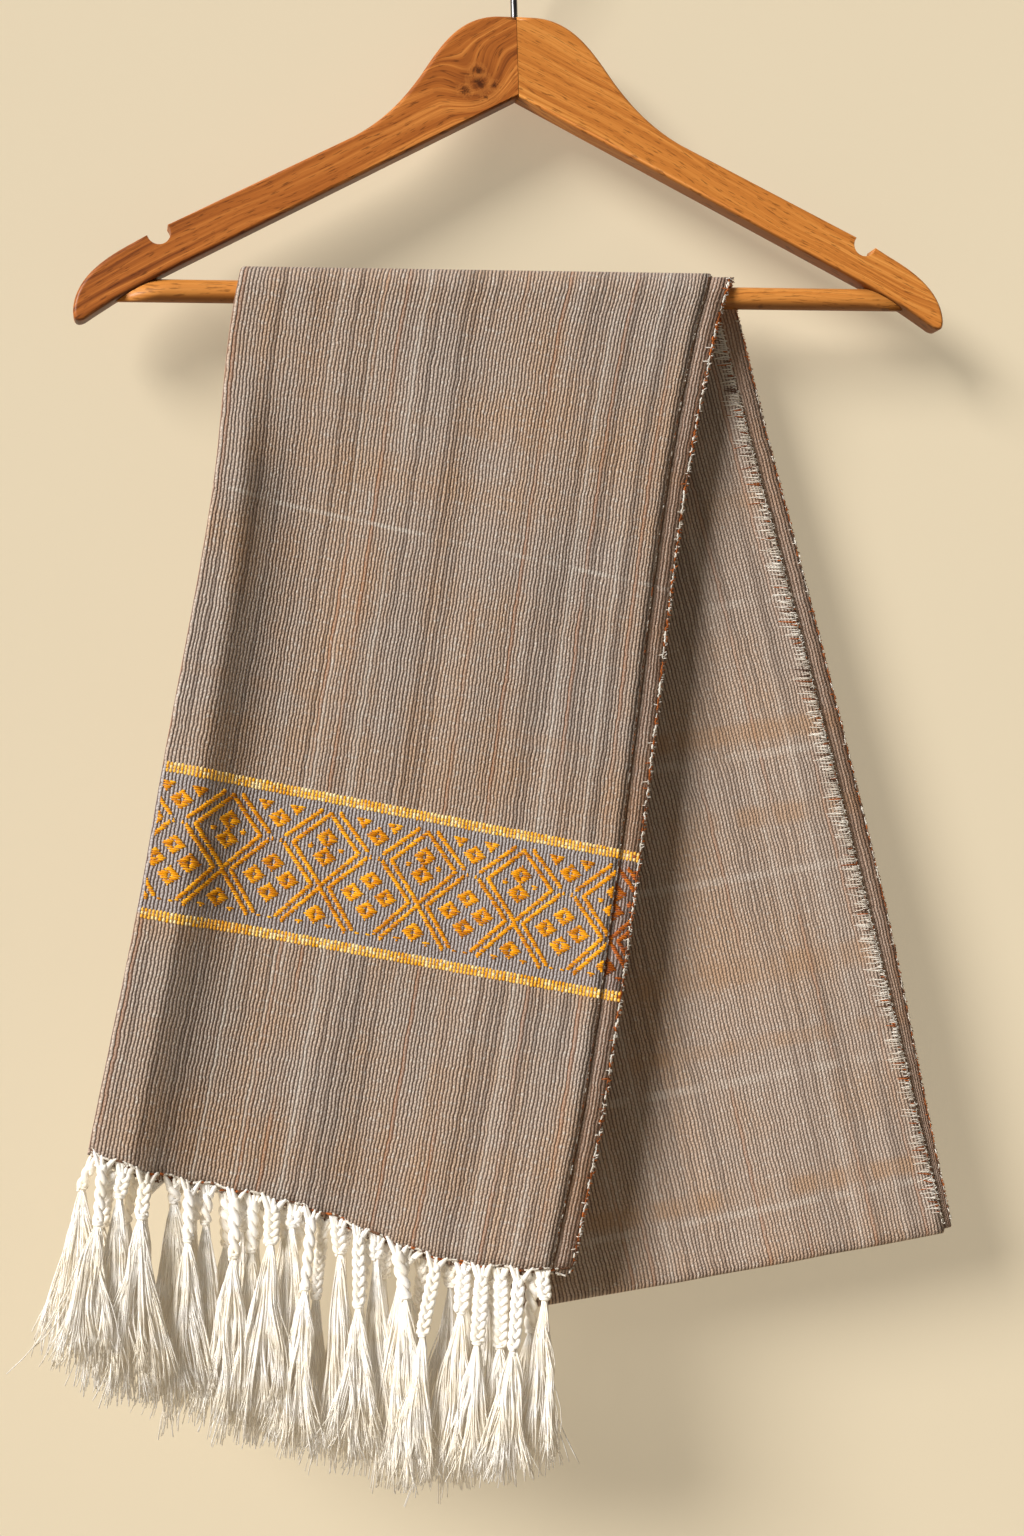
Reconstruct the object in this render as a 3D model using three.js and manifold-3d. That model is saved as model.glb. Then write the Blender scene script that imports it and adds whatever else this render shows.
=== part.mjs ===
// A stole on a wooden hanger. The stole is folded in half lengthwise, wrong side in, then in half
// crosswise, and hangs obliquely over the trouser bar with both fringed ends together in front.
// Millimetres, +Z up. The front faces -Y, and the origin is the bearing point under the hook's top.
import * as THREE from 'three';
import { mergeVertices } from 'three/addons/utils/BufferGeometryUtils.js';
import Module from 'manifold-3d';

const wasm = await Module();
wasm.setup();

// ---------------------------------------------------------------- driving dimensions

const GAP = 0.3; // clearance where two pieces meet

const ARM = {
  thickness: 13, // front to back
  bevel: 2, // rounding of the long edges
  domeTop: -75,
  crotch: -116, // underside at the mitre
  seatInner: new THREE.Vector2(183.8, -210), // underside where the bar's end begins
  seatOuter: new THREE.Vector2(205.5, -222), // underside where the bar's end stops
  notch: new THREE.Vector2(183.6, -188.8), // centre of the strap notch
  notchRadius: 5.9,
  notchFrom: -15, // degrees round the notch at its outer corner
  notchTo: 140, // and at its inner corner
  shoulder: new THREE.Vector2(85.5, -138.5),
  tipX: 226.3,
};

const BAR = { radius: 5.7, z: -216.5, sides: 16 };

const HOOK = {
  wire: 1.8, // radius of the wire
  loop: 21.5, // radius of the loop at the wire's centre
  tipAngle: 205, // degrees round the loop from +X
  joinAngle: -50, // where the loop takes over from the stem
  stemTop: -58,
  stemBottom: -96,
};

const CLOTH = {
  wall: 1.2,
  pitch: 1.8, // from one layer's middle to the next
  panel: 235, // fold to selvedge, on the side that shows
  ledge: 11, // how much further the under layer's selvedge reaches
  quarter: 17.6, // a quarter turn over the bar, along the cloth
};

// Each pair of layers is one length of the doubled stole: its radius over the bar, the side on which
// the right side of the cloth lies (1 away from the bar), and how far its hem hangs below the other's.
const PAIRS = {
  outer: { radius: 11.2, face: 1, extraHem: 0 },
  inner: { radius: 7.6, face: -1, extraHem: 3 },
};

// Where the long fold and the selvedge run on each leaf, by the drop from the top of the turn.
const FRONT_EDGES = [
  { drop: 0, fold: -142, selvedge: 100 },
  { drop: 40, fold: -150, selvedge: 87 },
  { drop: 125, fold: -162, selvedge: 67.5 },
  { drop: 254, fold: -189, selvedge: 46 },
  { drop: 323, fold: -203, selvedge: 34.5 },
  { drop: 436, fold: -229, selvedge: 13 },
  { drop: 515, fold: -246, selvedge: -6 },
];
const BACK_EDGES = [
  { drop: 0, fold: -142, selvedge: 100 },
  { drop: 75, fold: -127, selvedge: 117.4 },
  { drop: 220, fold: -96, selvedge: 152.5 },
  { drop: 375, fold: -64, selvedge: 188 },
  { drop: 545, fold: -30, selvedge: 226 },
];

// Drop of the fringed hem across the front leaf; share runs from 0 at the fold to 1 at the selvedge.
const HEM = [
  { share: 0, drop: 436 },
  { share: 0.16, drop: 452 },
  { share: 0.34, drop: 464 },
  { share: 0.51, drop: 477 },
  { share: 0.67, drop: 494 },
  { share: 0.81, drop: 505 },
  { share: 1.05, drop: 512 },
];
const BOTTOM_FOLD = [
  { share: 0, drop: 539.5 },
  { share: 1.05, drop: 513 },
];

const SEAM = 30; // drop at which the turn over the bar is parted from the leaves
const FOLD_REACH = 3; // straight cloth on each side of the bottom fold

const LEAF_ROWS = { front: 12, back: 7 };
const ACROSS = 10; // spans across one layer
const FOLD_STEPS = 3; // spans round the long fold
const TURN_STEPS = 8; // spans over the bar
const BOTTOM_STEPS = 5; // spans round the bottom fold

const TASSEL = {
  perLayer: 11,
  strip: 3, // height of the strip that carries them
  rootWidth: 7,
  neckWidth: 4.2,
  knotWidth: 5,
  brush: 11, // width over the strands' ends
  lean: { fold: 0.19, selvedge: 0.07 }, // sideways for each millimetre down
};

// One fringe for each of the four layer ends: pair, side (1 away from the bar), phase along the
// hem in tassel spacings, how far the tassels swing forward, and the strands of each tassel.
const FRINGES = [
  { name: 'fringe_front', pair: PAIRS.outer, side: 1, phase: 0.35, swing: 5.2, strands: 4 },
  { name: 'fringe_second', pair: PAIRS.outer, side: -1, phase: 0.85, swing: 1.7, strands: 3 },
  { name: 'fringe_third', pair: PAIRS.inner, side: 1, phase: 0.6, swing: -1.7, strands: 3 },
  { name: 'fringe_rear', pair: PAIRS.inner, side: -1, phase: 0.1, swing: -5.2, strands: 4 },
];

const COLOURS = {
  wood: new THREE.MeshStandardMaterial({ color: 0xb9702f, roughness: 0.38, metalness: 0 }),
  steel: new THREE.MeshStandardMaterial({ color: 0x4a4a4c, roughness: 0.35, metalness: 1 }),
  cloth: new THREE.MeshStandardMaterial({ color: 0x8f7868, roughness: 0.85, metalness: 0 }),
  fringe: new THREE.MeshStandardMaterial({ color: 0xe6dccb, roughness: 0.8, metalness: 0 }),
};

// ---------------------------------------------------------------- helpers

const mix = (a, b, t) => a + (b - a) * t;
const clamp01 = (t) => Math.min(Math.max(t, 0), 1);
const smooth = (t) => clamp01(t) ** 2 * (3 - 2 * clamp01(t));

// A repeatable number from 0 to 1 for the k-th copy of something.
function vary(k, salt) {
  const s = Math.sin(k * 12.9898 + salt * 78.233) * 43758.5453;
  return s - Math.floor(s);
}

// A smooth reading of one column of a table, along its key column.
function read(table, key, column, at) {
  const last = table.length - 2;
  const found = table.findIndex((row, i) => i <= last && at < table[i + 1][key]);
  const i = found < 0 ? last : found;
  const slope = (j) => {
    const a = table[Math.max(j - 1, 0)];
    const b = table[Math.min(j + 1, last + 1)];
    return (b[column] - a[column]) / (b[key] - a[key]);
  };
  const span = table[i + 1][key] - table[i][key];
  const t = (at - table[i][key]) / span;
  if (t > 1) return table[i + 1][column] + slope(i + 1) * span * (t - 1);
  const s = t * t * (3 - 2 * t);
  const enter = slope(i) * span * t * (1 - t) ** 2;
  const leave = slope(i + 1) * span * t * t * (t - 1);
  return mix(table[i][column], table[i + 1][column], s) + enter + leave;
}

function toSolid(geometry) {
  const bare = geometry.clone();
  bare.deleteAttribute('normal');
  bare.deleteAttribute('uv');
  const welded = mergeVertices(bare, 1e-4);
  return new wasm.Manifold(new wasm.Mesh({
    numProp: 3,
    vertProperties: new Float32Array(welded.attributes.position.array),
    triVerts: new Uint32Array(welded.index.array),
  }));
}

function toGeometry(solid) {
  const { vertProperties, triVerts } = solid.getMesh();
  const geometry = new THREE.BufferGeometry();
  geometry.setAttribute('position', new THREE.BufferAttribute(vertProperties, 3));
  geometry.setIndex(new THREE.BufferAttribute(triVerts, 1));
  geometry.computeVertexNormals();
  return geometry;
}

// A closed geometry from points and triangles, turned so that its faces point out.
function closed(points, triangles) {
  const volume = triangles.reduce((sum, [a, b, c]) => {
    const cross = new THREE.Vector3().crossVectors(points[b], points[c]);
    return sum + points[a].dot(cross);
  }, 0);
  const order = volume > 0 ? triangles : triangles.map(([a, b, c]) => [a, c, b]);
  const geometry = new THREE.BufferGeometry().setFromPoints(points);
  geometry.setIndex(order.flat());
  geometry.computeVertexNormals();
  return geometry;
}

// A wall from rows of point pairs, one on each face of the wall.
function wall(rows) {
  const width = rows[0].length;
  const points = rows.flatMap((row) => row.flatMap(({ over, under }) => [over, under]));
  const over = (i, j) => (i * width + j) * 2;
  const under = (i, j) => over(i, j) + 1;
  const triangles = [];
  const quad = (a, b, c, d) => triangles.push([a, b, c], [a, c, d]);
  for (let i = 0; i + 1 < rows.length; i += 1) {
    for (let j = 0; j + 1 < width; j += 1) {
      quad(over(i, j), over(i, j + 1), over(i + 1, j + 1), over(i + 1, j));
      quad(under(i, j), under(i + 1, j), under(i + 1, j + 1), under(i, j + 1));
    }
    quad(over(i, 0), over(i + 1, 0), under(i + 1, 0), under(i, 0));
    quad(over(i, width - 1), under(i, width - 1), under(i + 1, width - 1), over(i + 1, width - 1));
  }
  const end = rows.length - 1;
  for (let j = 0; j + 1 < width; j += 1) {
    quad(over(0, j), under(0, j), under(0, j + 1), over(0, j + 1));
    quad(over(end, j), over(end, j + 1), under(end, j + 1), under(end, j));
  }
  return closed(points, triangles);
}

// A lock of yarn: rings of points, one below the other, closed at both ends.
function lock(rings) {
  const sides = rings[0].length;
  const at = (i, j) => i * sides + (j % sides);
  const triangles = [];
  for (let i = 0; i + 1 < rings.length; i += 1) {
    for (let j = 0; j < sides; j += 1) {
      triangles.push([at(i, j), at(i, j + 1), at(i + 1, j + 1)]);
      triangles.push([at(i, j), at(i + 1, j + 1), at(i + 1, j)]);
    }
  }
  for (let j = 1; j + 1 < sides; j += 1) {
    triangles.push([at(0, 0), at(0, j + 1), at(0, j)]);
    triangles.push([at(rings.length - 1, 0), at(rings.length - 1, j), at(rings.length - 1, j + 1)]);
  }
  return closed(rings.flat(), triangles);
}

// ---------------------------------------------------------------- hanger

function stemHole() {
  const radius = HOOK.wire + GAP;
  const length = ARM.domeTop - HOOK.stemBottom + 10;
  const hole = new THREE.CylinderGeometry(radius, radius, length, 12);
  hole.rotateX(Math.PI / 2);
  hole.translate(0, 0, HOOK.stemBottom - GAP + length / 2);
  return toSolid(hole);
}

function armGeometry() {
  const { notch, notchRadius, shoulder, seatInner, seatOuter, tipX } = ARM;
  const mitre = GAP / 2;
  const [notchFrom, notchTo] = [ARM.notchFrom, ARM.notchTo].map(THREE.MathUtils.degToRad);
  const notchOuter = new THREE.Vector2(
    notch.x + notchRadius * Math.cos(notchFrom),
    notch.y + notchRadius * Math.sin(notchFrom),
  );
  const outline = new THREE.Shape();
  outline.moveTo(mitre, ARM.crotch);
  outline.lineTo(seatInner.x, seatInner.y);
  outline.lineTo(seatOuter.x, seatOuter.y);
  outline.quadraticCurveTo(214, -227.5, 220.5, -232);
  outline.quadraticCurveTo(tipX, -235, tipX, -228);
  outline.bezierCurveTo(tipX - 1, -212, 211, -201, notchOuter.x, notchOuter.y);
  outline.absarc(notch.x, notch.y, notchRadius, notchFrom, notchTo, true);
  outline.lineTo(shoulder.x, shoulder.y);
  outline.bezierCurveTo(68, -129, 58, -117, 50.5, -107);
  outline.bezierCurveTo(40, -92, 30, ARM.domeTop, 8, ARM.domeTop);
  outline.lineTo(mitre, ARM.domeTop);
  const plank = new THREE.ExtrudeGeometry(outline, {
    depth: ARM.thickness - 2 * ARM.bevel,
    curveSegments: 5,
    bevelThickness: ARM.bevel,
    bevelSize: ARM.bevel,
    bevelOffset: -ARM.bevel,
    bevelSegments: 2,
  });
  plank.rotateX(Math.PI / 2);
  plank.translate(0, ARM.thickness / 2 - ARM.bevel, 0);
  return toGeometry(toSolid(plank).subtract(stemHole()));
}

// The bar's ends are cut on the slant of the arms' undersides.
function barGeometry() {
  const { seatInner, seatOuter } = ARM;
  const slant = (seatOuter.x - seatInner.x) / (seatInner.y - seatOuter.y);
  const clear = GAP * Math.hypot(1, slant);
  const reach = (z) => seatInner.x + (seatInner.y - z) * slant - clear;
  const rod = new THREE.CylinderGeometry(BAR.radius, BAR.radius, 2 * ARM.tipX, BAR.sides);
  rod.rotateZ(Math.PI / 2);
  rod.translate(0, 0, BAR.z);
  const top = BAR.z + BAR.radius + 1;
  const bottom = BAR.z - BAR.radius - 1;
  const profile = new THREE.Shape([
    new THREE.Vector2(-reach(top), top),
    new THREE.Vector2(-reach(bottom), bottom),
    new THREE.Vector2(reach(bottom), bottom),
    new THREE.Vector2(reach(top), top),
  ]);
  const cut = new THREE.ExtrudeGeometry(profile, { depth: 2 * ARM.thickness, bevelEnabled: false });
  cut.rotateX(Math.PI / 2);
  cut.translate(0, ARM.thickness, 0);
  return toGeometry(toSolid(rod).intersect(toSolid(cut)));
}

// The question-mark hook: a straight stem, an easing bend and the open loop.
class HookPath extends THREE.Curve {
  constructor() {
    super();
    const centre = HOOK.wire - HOOK.loop;
    const turn = THREE.MathUtils.degToRad(HOOK.joinAngle);
    const onLoop = (angle) => new THREE.Vector3(
      HOOK.loop * Math.cos(angle),
      0,
      centre + HOOK.loop * Math.sin(angle),
    );
    const join = onLoop(turn);
    const ease = 9;
    const points = [new THREE.Vector3(0, 0, HOOK.stemBottom), new THREE.Vector3(0, 0, -76)];
    const bend = new THREE.CubicBezierCurve3(
      new THREE.Vector3(0, 0, HOOK.stemTop),
      new THREE.Vector3(0, 0, HOOK.stemTop + ease),
      new THREE.Vector3(join.x + ease * Math.sin(turn), 0, join.z - ease * Math.cos(turn)),
      join,
    );
    points.push(...bend.getPoints(5));
    const steps = 20;
    for (let i = 1; i <= steps; i += 1) {
      const end = THREE.MathUtils.degToRad(HOOK.tipAngle);
      points.push(onLoop(mix(turn, end, i / steps)));
    }
    this.line = new THREE.CatmullRomCurve3(points, false, 'centripetal');
  }

  getPoint(t, target = new THREE.Vector3()) {
    return this.line.getPoint(t, target);
  }
}

function hookGeometry() {
  const section = new THREE.Shape().absarc(0, 0, HOOK.wire, 0, 2 * Math.PI, false);
  return new THREE.ExtrudeGeometry(section, {
    extrudePath: new HookPath(),
    steps: 40,
    curveSegments: 4,
    bevelEnabled: false,
  });
}

// ---------------------------------------------------------------- cloth

// How far a leaf stands out from the plane of its side of the bar.
function billow(front, share, fall) {
  const down = fall / 480;
  const ease = smooth(fall / 160);
  if (!front) return 3 * down + ease * 1.2 * Math.sin(5.2 * share + 2.2 * down);
  const flare = 5.5 * down + 9 * down * smooth((share - 0.5) / 0.55);
  const waves = 1.9 + 1.9 * Math.sin(6.4 * share + 1.6 * down - 2.4);
  return flare + ease * (waves + 2.2) + ridge(share, fall);
}

// The long fold's edge stands proud of the front leaf, and the cloth eases back beside it.
function ridge(share, fall) {
  const start = 0.05 + 0.07 * smooth(fall / 300);
  const past = Math.max(share - start, 0) / 0.13;
  return (7 * smooth((fall - 25) / 80)) / Math.cosh(past);
}

// A point of the cloth. Away is the distance from the pair's middle, away from the bar, and drop
// is counted down the front leaf, or below zero down the back leaf.
function place(pair, across, away, drop) {
  const front = drop >= 0;
  const out = front ? -1 : 1;
  const share = across / CLOTH.panel;
  const depth = Math.abs(drop);
  const edges = front ? FRONT_EDGES : BACK_EDGES;
  const x = mix(read(edges, 'drop', 'fold', depth), read(edges, 'drop', 'selvedge', depth), share);
  const radius = pair.radius + away;
  if (depth < CLOTH.quarter) {
    const angle = (depth / CLOTH.quarter) * (Math.PI / 2);
    return new THREE.Vector3(x, out * radius * Math.sin(angle), BAR.z + radius * Math.cos(angle));
  }
  const fall = depth - CLOTH.quarter;
  return new THREE.Vector3(x, out * (radius + billow(front, share, fall)), BAR.z - fall);
}

// The doubled layers in section: from the selvedge on the right side of the cloth, round the long
// fold, to the selvedge of the under layer, with the wall's two faces at each step.
function section(face) {
  const bend = CLOTH.pitch / 2;
  const half = CLOTH.wall / 2;
  const middle = [];
  for (let i = 0; i < ACROSS; i += 1) {
    middle.push({ across: mix(CLOTH.panel, bend, i / ACROSS), away: bend, turn: 0 });
  }
  for (let i = 0; i <= FOLD_STEPS; i += 1) {
    const turn = (i / FOLD_STEPS) * Math.PI;
    middle.push({ across: bend - bend * Math.sin(turn), away: bend * Math.cos(turn), turn });
  }
  for (let i = 1; i <= ACROSS; i += 1) {
    const across = mix(bend, CLOTH.panel + CLOTH.ledge, i / ACROSS);
    middle.push({ across, away: -bend, turn: Math.PI });
  }
  const offset = ({ across, away, turn }, by) => ({
    across: across - by * Math.sin(turn),
    away: face * (away + by * Math.cos(turn)),
  });
  return middle.map((point) => ({ over: offset(point, half), under: offset(point, -half) }));
}

// Sweeps the doubled section down a list of rows; each row says where a point of it lies.
function sweep(face, rows) {
  const grid = rows.map((put) => section(face).map(({ over, under }) => ({
    over: put(over),
    under: put(under),
  })));
  return wall(grid);
}

const shareOf = ({ across }) => clamp01(across / (CLOTH.panel * 1.05)) * 1.05;
const hemDrop = (pair, point) => read(HEM, 'share', 'drop', shareOf(point)) + pair.extraHem;
const foldDrop = (point) => read(BOTTOM_FOLD, 'share', 'drop', shareOf(point));

function turnGeometry(pair) {
  const end = SEAM - GAP / 2;
  const arc = Array.from({ length: TURN_STEPS + 1 }, (_, i) => CLOTH.quarter * (1 - (2 * i) / TURN_STEPS));
  const drops = [end, ...arc, -end];
  return sweep(pair.face, drops.map((drop) => (p) => place(pair, p.across, p.away, drop)));
}

function leafGeometry(pair, front) {
  const count = front ? LEAF_ROWS.front : LEAF_ROWS.back;
  const rows = [];
  for (let i = 0; i <= count; i += 1) {
    rows.push((p) => {
      const end = front ? hemDrop(pair, p) : foldDrop(p) - FOLD_REACH - GAP / 2;
      const depth = mix(SEAM + GAP / 2, end, i / count);
      return place(pair, p.across, p.away, front ? depth : -depth);
    });
  }
  return sweep(pair.face, rows);
}

// The bottom of the back leaf, where the inner pair turns round into the outer pair.
function bottomFoldGeometry() {
  const { inner, outer } = PAIRS;
  const middle = (outer.radius - inner.radius) / 2;
  const rows = [];
  rows.push((p) => place(inner, p.across, p.away, FOLD_REACH - foldDrop(p)));
  for (let i = 0; i <= BOTTOM_STEPS; i += 1) {
    const angle = (i / BOTTOM_STEPS) * Math.PI;
    rows.push((p) => {
      const spot = place(inner, p.across, middle, -foldDrop(p));
      const radius = middle - p.away;
      spot.y -= radius * Math.cos(angle);
      spot.z -= radius * Math.sin(angle);
      return spot;
    });
  }
  rows.push((p) => place(outer, p.across, -p.away, FOLD_REACH - foldDrop(p)));
  return sweep(inner.face, rows);
}

// ---------------------------------------------------------------- fringe

// The spans of one layer's edge along the hem, in step with the leaf's own.
function hemSpans({ pair, side }) {
  const under = side !== pair.face;
  const start = CLOTH.pitch / 2;
  const end = CLOTH.panel + (under ? CLOTH.ledge : 0);
  return Array.from({ length: ACROSS + 1 }, (_, j) => mix(start, end, j / ACROSS));
}

// A point of a layer just below its hem, on the straight span between two steps of the edge.
function belowHem(fringe, across, away, below) {
  const spans = hemSpans(fringe);
  const j = Math.min(spans.findLastIndex((start) => start <= across), ACROSS - 1);
  const [from, to] = [spans[j], spans[j + 1]].map(
    (at) => place(fringe.pair, at, away, hemDrop(fringe.pair, { across: at }) + GAP + below),
  );
  return from.lerp(to, (across - spans[j]) / (spans[j + 1] - spans[j]));
}

function stripSolid(fringe) {
  const away = (fringe.side * CLOTH.pitch) / 2;
  const half = CLOTH.wall / 2;
  const rows = [0, TASSEL.strip].map((below) => hemSpans(fringe).map((across) => ({
    over: belowHem(fringe, across, away + half, below),
    under: belowHem(fringe, across, away - half, below),
  })));
  return toSolid(wall(rows));
}

// One tassel: a gathered root, a twisted neck ending in a knot, and a loose brush of strands.
function tasselSolids(fringe, k) {
  const { side, phase, swing, strands } = fringe;
  const away = (side * CLOTH.pitch) / 2;
  const across = ((k + phase) * CLOTH.panel) / TASSEL.perLayer;
  const seed = k + 17 * phase;
  const root = belowHem(fringe, across, away, 0.8 * TASSEL.strip);
  const slant = mix(TASSEL.lean.fold, TASSEL.lean.selvedge, clamp01(across / CLOTH.panel));
  const lean = slant + 0.03 * (vary(seed, 1) - 0.5);
  const length = 95 + 20 * Math.sin(Math.PI * clamp01(across / CLOTH.panel)) + 6 * vary(seed, 2);
  const knot = 24 + 10 * vary(seed, 3);
  const spot = (down, dx, dy) => new THREE.Vector3(
    root.x - lean * down + dx,
    root.y - swing * smooth(down / 32) + dy,
    root.z - down,
  );
  const block = (down, wide, deep) => [[-1, -1], [1, -1], [1, 1], [-1, 1]].map(
    ([sx, sy]) => spot(down, (sx * wide) / 2, (sy * deep) / 2),
  );
  const neck = lock([
    block(0, TASSEL.rootWidth, CLOTH.wall - 0.1),
    block(10, TASSEL.neckWidth, 2.2),
    block(knot, TASSEL.knotWidth, 3.6),
  ]);
  const solids = [toSolid(neck)];
  for (let j = 0; j < strands; j += 1) {
    const aside = j / (strands - 1) - 0.5;
    const ring = (down, wide, radius) => [0, 1, 2].map((n) => {
      const angle = (n * 2 * Math.PI) / 3 + j * 1.1;
      return spot(down, aside * wide + radius * Math.cos(angle), radius * Math.sin(angle));
    });
    const end = length - 8 * vary(seed + 31 * j, 4);
    solids.push(toSolid(lock([
      ring(knot - 3, TASSEL.knotWidth - 2, 0.8),
      ring(mix(knot, end, 0.4), 0.8 * TASSEL.brush, 1.6),
      ring(end, TASSEL.brush, 1.3),
    ])));
  }
  return solids;
}

function fringeGeometry(fringe) {
  const solids = [stripSolid(fringe)];
  for (let k = 0; k < TASSEL.perLayer; k += 1) solids.push(...tasselSolids(fringe, k));
  return toGeometry(wasm.Manifold.union(solids));
}

// ---------------------------------------------------------------- the whole

const stole = new THREE.Group();

function add(name, geometry, material) {
  const mesh = new THREE.Mesh(geometry, material);
  mesh.name = name;
  stole.add(mesh);
  return mesh;
}

add('hanger_arm_right', armGeometry(), COLOURS.wood);
add('hanger_arm_left', armGeometry(), COLOURS.wood).scale.x = -1;
add('trouser_bar', barGeometry(), COLOURS.wood);
add('hook', hookGeometry(), COLOURS.steel);

add('bar_turn_outer', turnGeometry(PAIRS.outer), COLOURS.cloth);
add('bar_turn_inner', turnGeometry(PAIRS.inner), COLOURS.cloth);
add('front_leaf_outer', leafGeometry(PAIRS.outer, true), COLOURS.cloth);
add('front_leaf_inner', leafGeometry(PAIRS.inner, true), COLOURS.cloth);
add('back_leaf_outer', leafGeometry(PAIRS.outer, false), COLOURS.cloth);
add('back_leaf_inner', leafGeometry(PAIRS.inner, false), COLOURS.cloth);
add('bottom_fold', bottomFoldGeometry(), COLOURS.cloth);

for (const fringe of FRINGES) add(fringe.name, fringeGeometry(fringe), COLOURS.fringe);

export default stole;
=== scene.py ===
"""A stole on a wooden hanger: the finish of every surface, built round the CAD frame.

Lengths in the tables are millimetres, as in the part's source; meshes are made in metres.
The object's front faces -Y, and the origin is the bearing point under the hook's top.
"""
from math import cos, hypot, pi, radians, sin, tau

import bpy
import numpy as np
from mathutils import Matrix, Vector


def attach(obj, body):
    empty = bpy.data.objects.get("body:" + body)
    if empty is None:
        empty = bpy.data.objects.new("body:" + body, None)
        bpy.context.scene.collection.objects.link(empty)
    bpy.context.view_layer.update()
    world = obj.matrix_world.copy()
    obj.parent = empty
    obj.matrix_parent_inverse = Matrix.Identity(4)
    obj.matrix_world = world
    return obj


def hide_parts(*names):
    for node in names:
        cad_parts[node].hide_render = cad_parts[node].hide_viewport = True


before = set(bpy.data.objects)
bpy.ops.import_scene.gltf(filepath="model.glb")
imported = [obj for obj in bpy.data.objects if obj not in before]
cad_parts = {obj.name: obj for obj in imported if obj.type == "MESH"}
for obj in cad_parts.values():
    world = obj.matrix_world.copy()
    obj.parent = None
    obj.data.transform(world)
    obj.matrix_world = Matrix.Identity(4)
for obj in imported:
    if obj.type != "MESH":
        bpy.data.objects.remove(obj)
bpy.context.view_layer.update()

MM = 0.001
FRONT, BACK = 1, -1

# ---------------------------------------------------------------- sizes shared with the part

ARM_THICK = 13.0
ARM_ROUND = 2.0
NOTCH_SHARP = 0.12  # share of the rounding that the notch's rim has
NOTCH_EASE = 9.0  # distance from the rim over which the rounding comes back
DOME_TOP = -75.0
CROTCH = -116.0
SEAT_INNER = (183.8, -210.0)
SEAT_OUTER = (205.5, -222.0)
NOTCH = (183.6, -188.8)
NOTCH_RADIUS = 5.9
NOTCH_FROM = -15  # degrees round the notch, at its outer and inner corners
NOTCH_TO = -220
SHOULDER = (85.5, -138.5)
NECK = (50.5, -107)
UNDER_TIP = (220.5, -232)
TIP_X = 226.3
MITRE_GAP = 0.3  # clearance where two pieces meet

BAR_RADIUS = 5.7
BAR_Z = -216.5

WIRE = 1.8
LOOP = 21.5
LOOP_TIP = 205  # degrees round the loop, at its tip and where it leaves the stem's bend
LOOP_JOIN = -50
STEM_TOP = -58.0
STEM_BOTTOM = -96.0

PANEL = 235.0  # across the folded stole
LEDGE = 11.0  # how far the under layer reaches past it
QUARTER = 17.6  # cloth in a quarter turn over the bar
PITCH = 1.8  # layer to layer
THICK = 1.0
OUTER = 11.2  # from the bar's axis to the middle of each pair of layers
INNER = 7.6
EXTRA_HEM = {OUTER: 0.0, INNER: 3.0}
TASSELS = 11  # on each layer end
BAND_START = 254.0  # weave-map place of the band's inner stripe, from the top of the turn
BAND_TALL = 70.0
# where the first tassel of each layer end hangs, in tassel spacings: radius and side of the layer
PHASE = {(OUTER, 1): 0.35, (OUTER, -1): 0.85, (INNER, 1): 0.6, (INNER, -1): 0.1}

# drop down the leaf, x of the long fold, x of the selvedge
FRONT_EDGES = [
    (0, -142, 100),
    (40, -150, 87),
    (125, -162, 67.5),
    (254, -189, 46),
    (323, -203, 34.5),
    (436, -229, 13),
    (515, -246, -6),
]
BACK_EDGES = [
    (0, -142, 100),
    (75, -127, 117.4),
    (220, -96, 152.5),
    (375, -64, 188),
    (545, -30, 226),
]
FULL = 1.05  # share across the panel at the ledge's edge, near enough
# share across the panel, drop of the fringed hem there
HEM = [(0, 436), (0.16, 452), (0.34, 464), (0.51, 477), (0.67, 494), (0.81, 505), (FULL, 512)]
# share across the panel, drop of the bottom fold there
BOTTOM_FOLD = [(0, 539.5), (FULL, 513)]
HEM_DIP = 0.9  # how far each tassel draws the hem down
FRONT_SLOPE = 0.217  # how much further down the leaf a weft yarn lies for each millimetre across
BACK_SLOPE = 0.12

# ---------------------------------------------------------------- small helpers


def mix(a, b, t):
    return a + (b - a) * t


def smooth(t):
    t = np.clip(t, 0, 1)
    return t * t * (3 - 2 * t)


def reader(table, column):
    """A smooth reading of one column of a table, along its first column."""
    keys = np.array([row[0] for row in table], float)
    values = np.array([row[column] for row in table], float)
    last = len(keys) - 1
    ahead = np.r_[1 : last + 1, last]
    behind = np.r_[0, 0:last]
    slopes = (values[ahead] - values[behind]) / (keys[ahead] - keys[behind])

    def at(x):
        x = np.asarray(x, float)
        i = np.clip(np.searchsorted(keys, x, side="right") - 1, 0, last - 1)
        span = keys[i + 1] - keys[i]
        t = np.minimum((x - keys[i]) / span, 1)
        over = np.maximum((x - keys[i]) / span - 1, 0)
        body = mix(values[i], values[i + 1], t * t * (3 - 2 * t))
        enter = slopes[i] * span * t * (1 - t) ** 2
        leave = slopes[i + 1] * span * t * t * (t - 1)
        return body + enter + leave + slopes[i + 1] * span * over

    return at


front_fold = reader(FRONT_EDGES, 1)
front_selvedge = reader(FRONT_EDGES, 2)
back_fold = reader(BACK_EDGES, 1)
back_selvedge = reader(BACK_EDGES, 2)
hem_at = reader(HEM, 1)
fold_at = reader(BOTTOM_FOLD, 1)


def unit(v):
    return v / np.maximum(np.linalg.norm(v, axis=-1, keepdims=True), 1e-12)


def add_object(name, data):
    ob = bpy.data.objects.new(name, data)
    bpy.context.scene.collection.objects.link(ob)
    return ob


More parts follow.
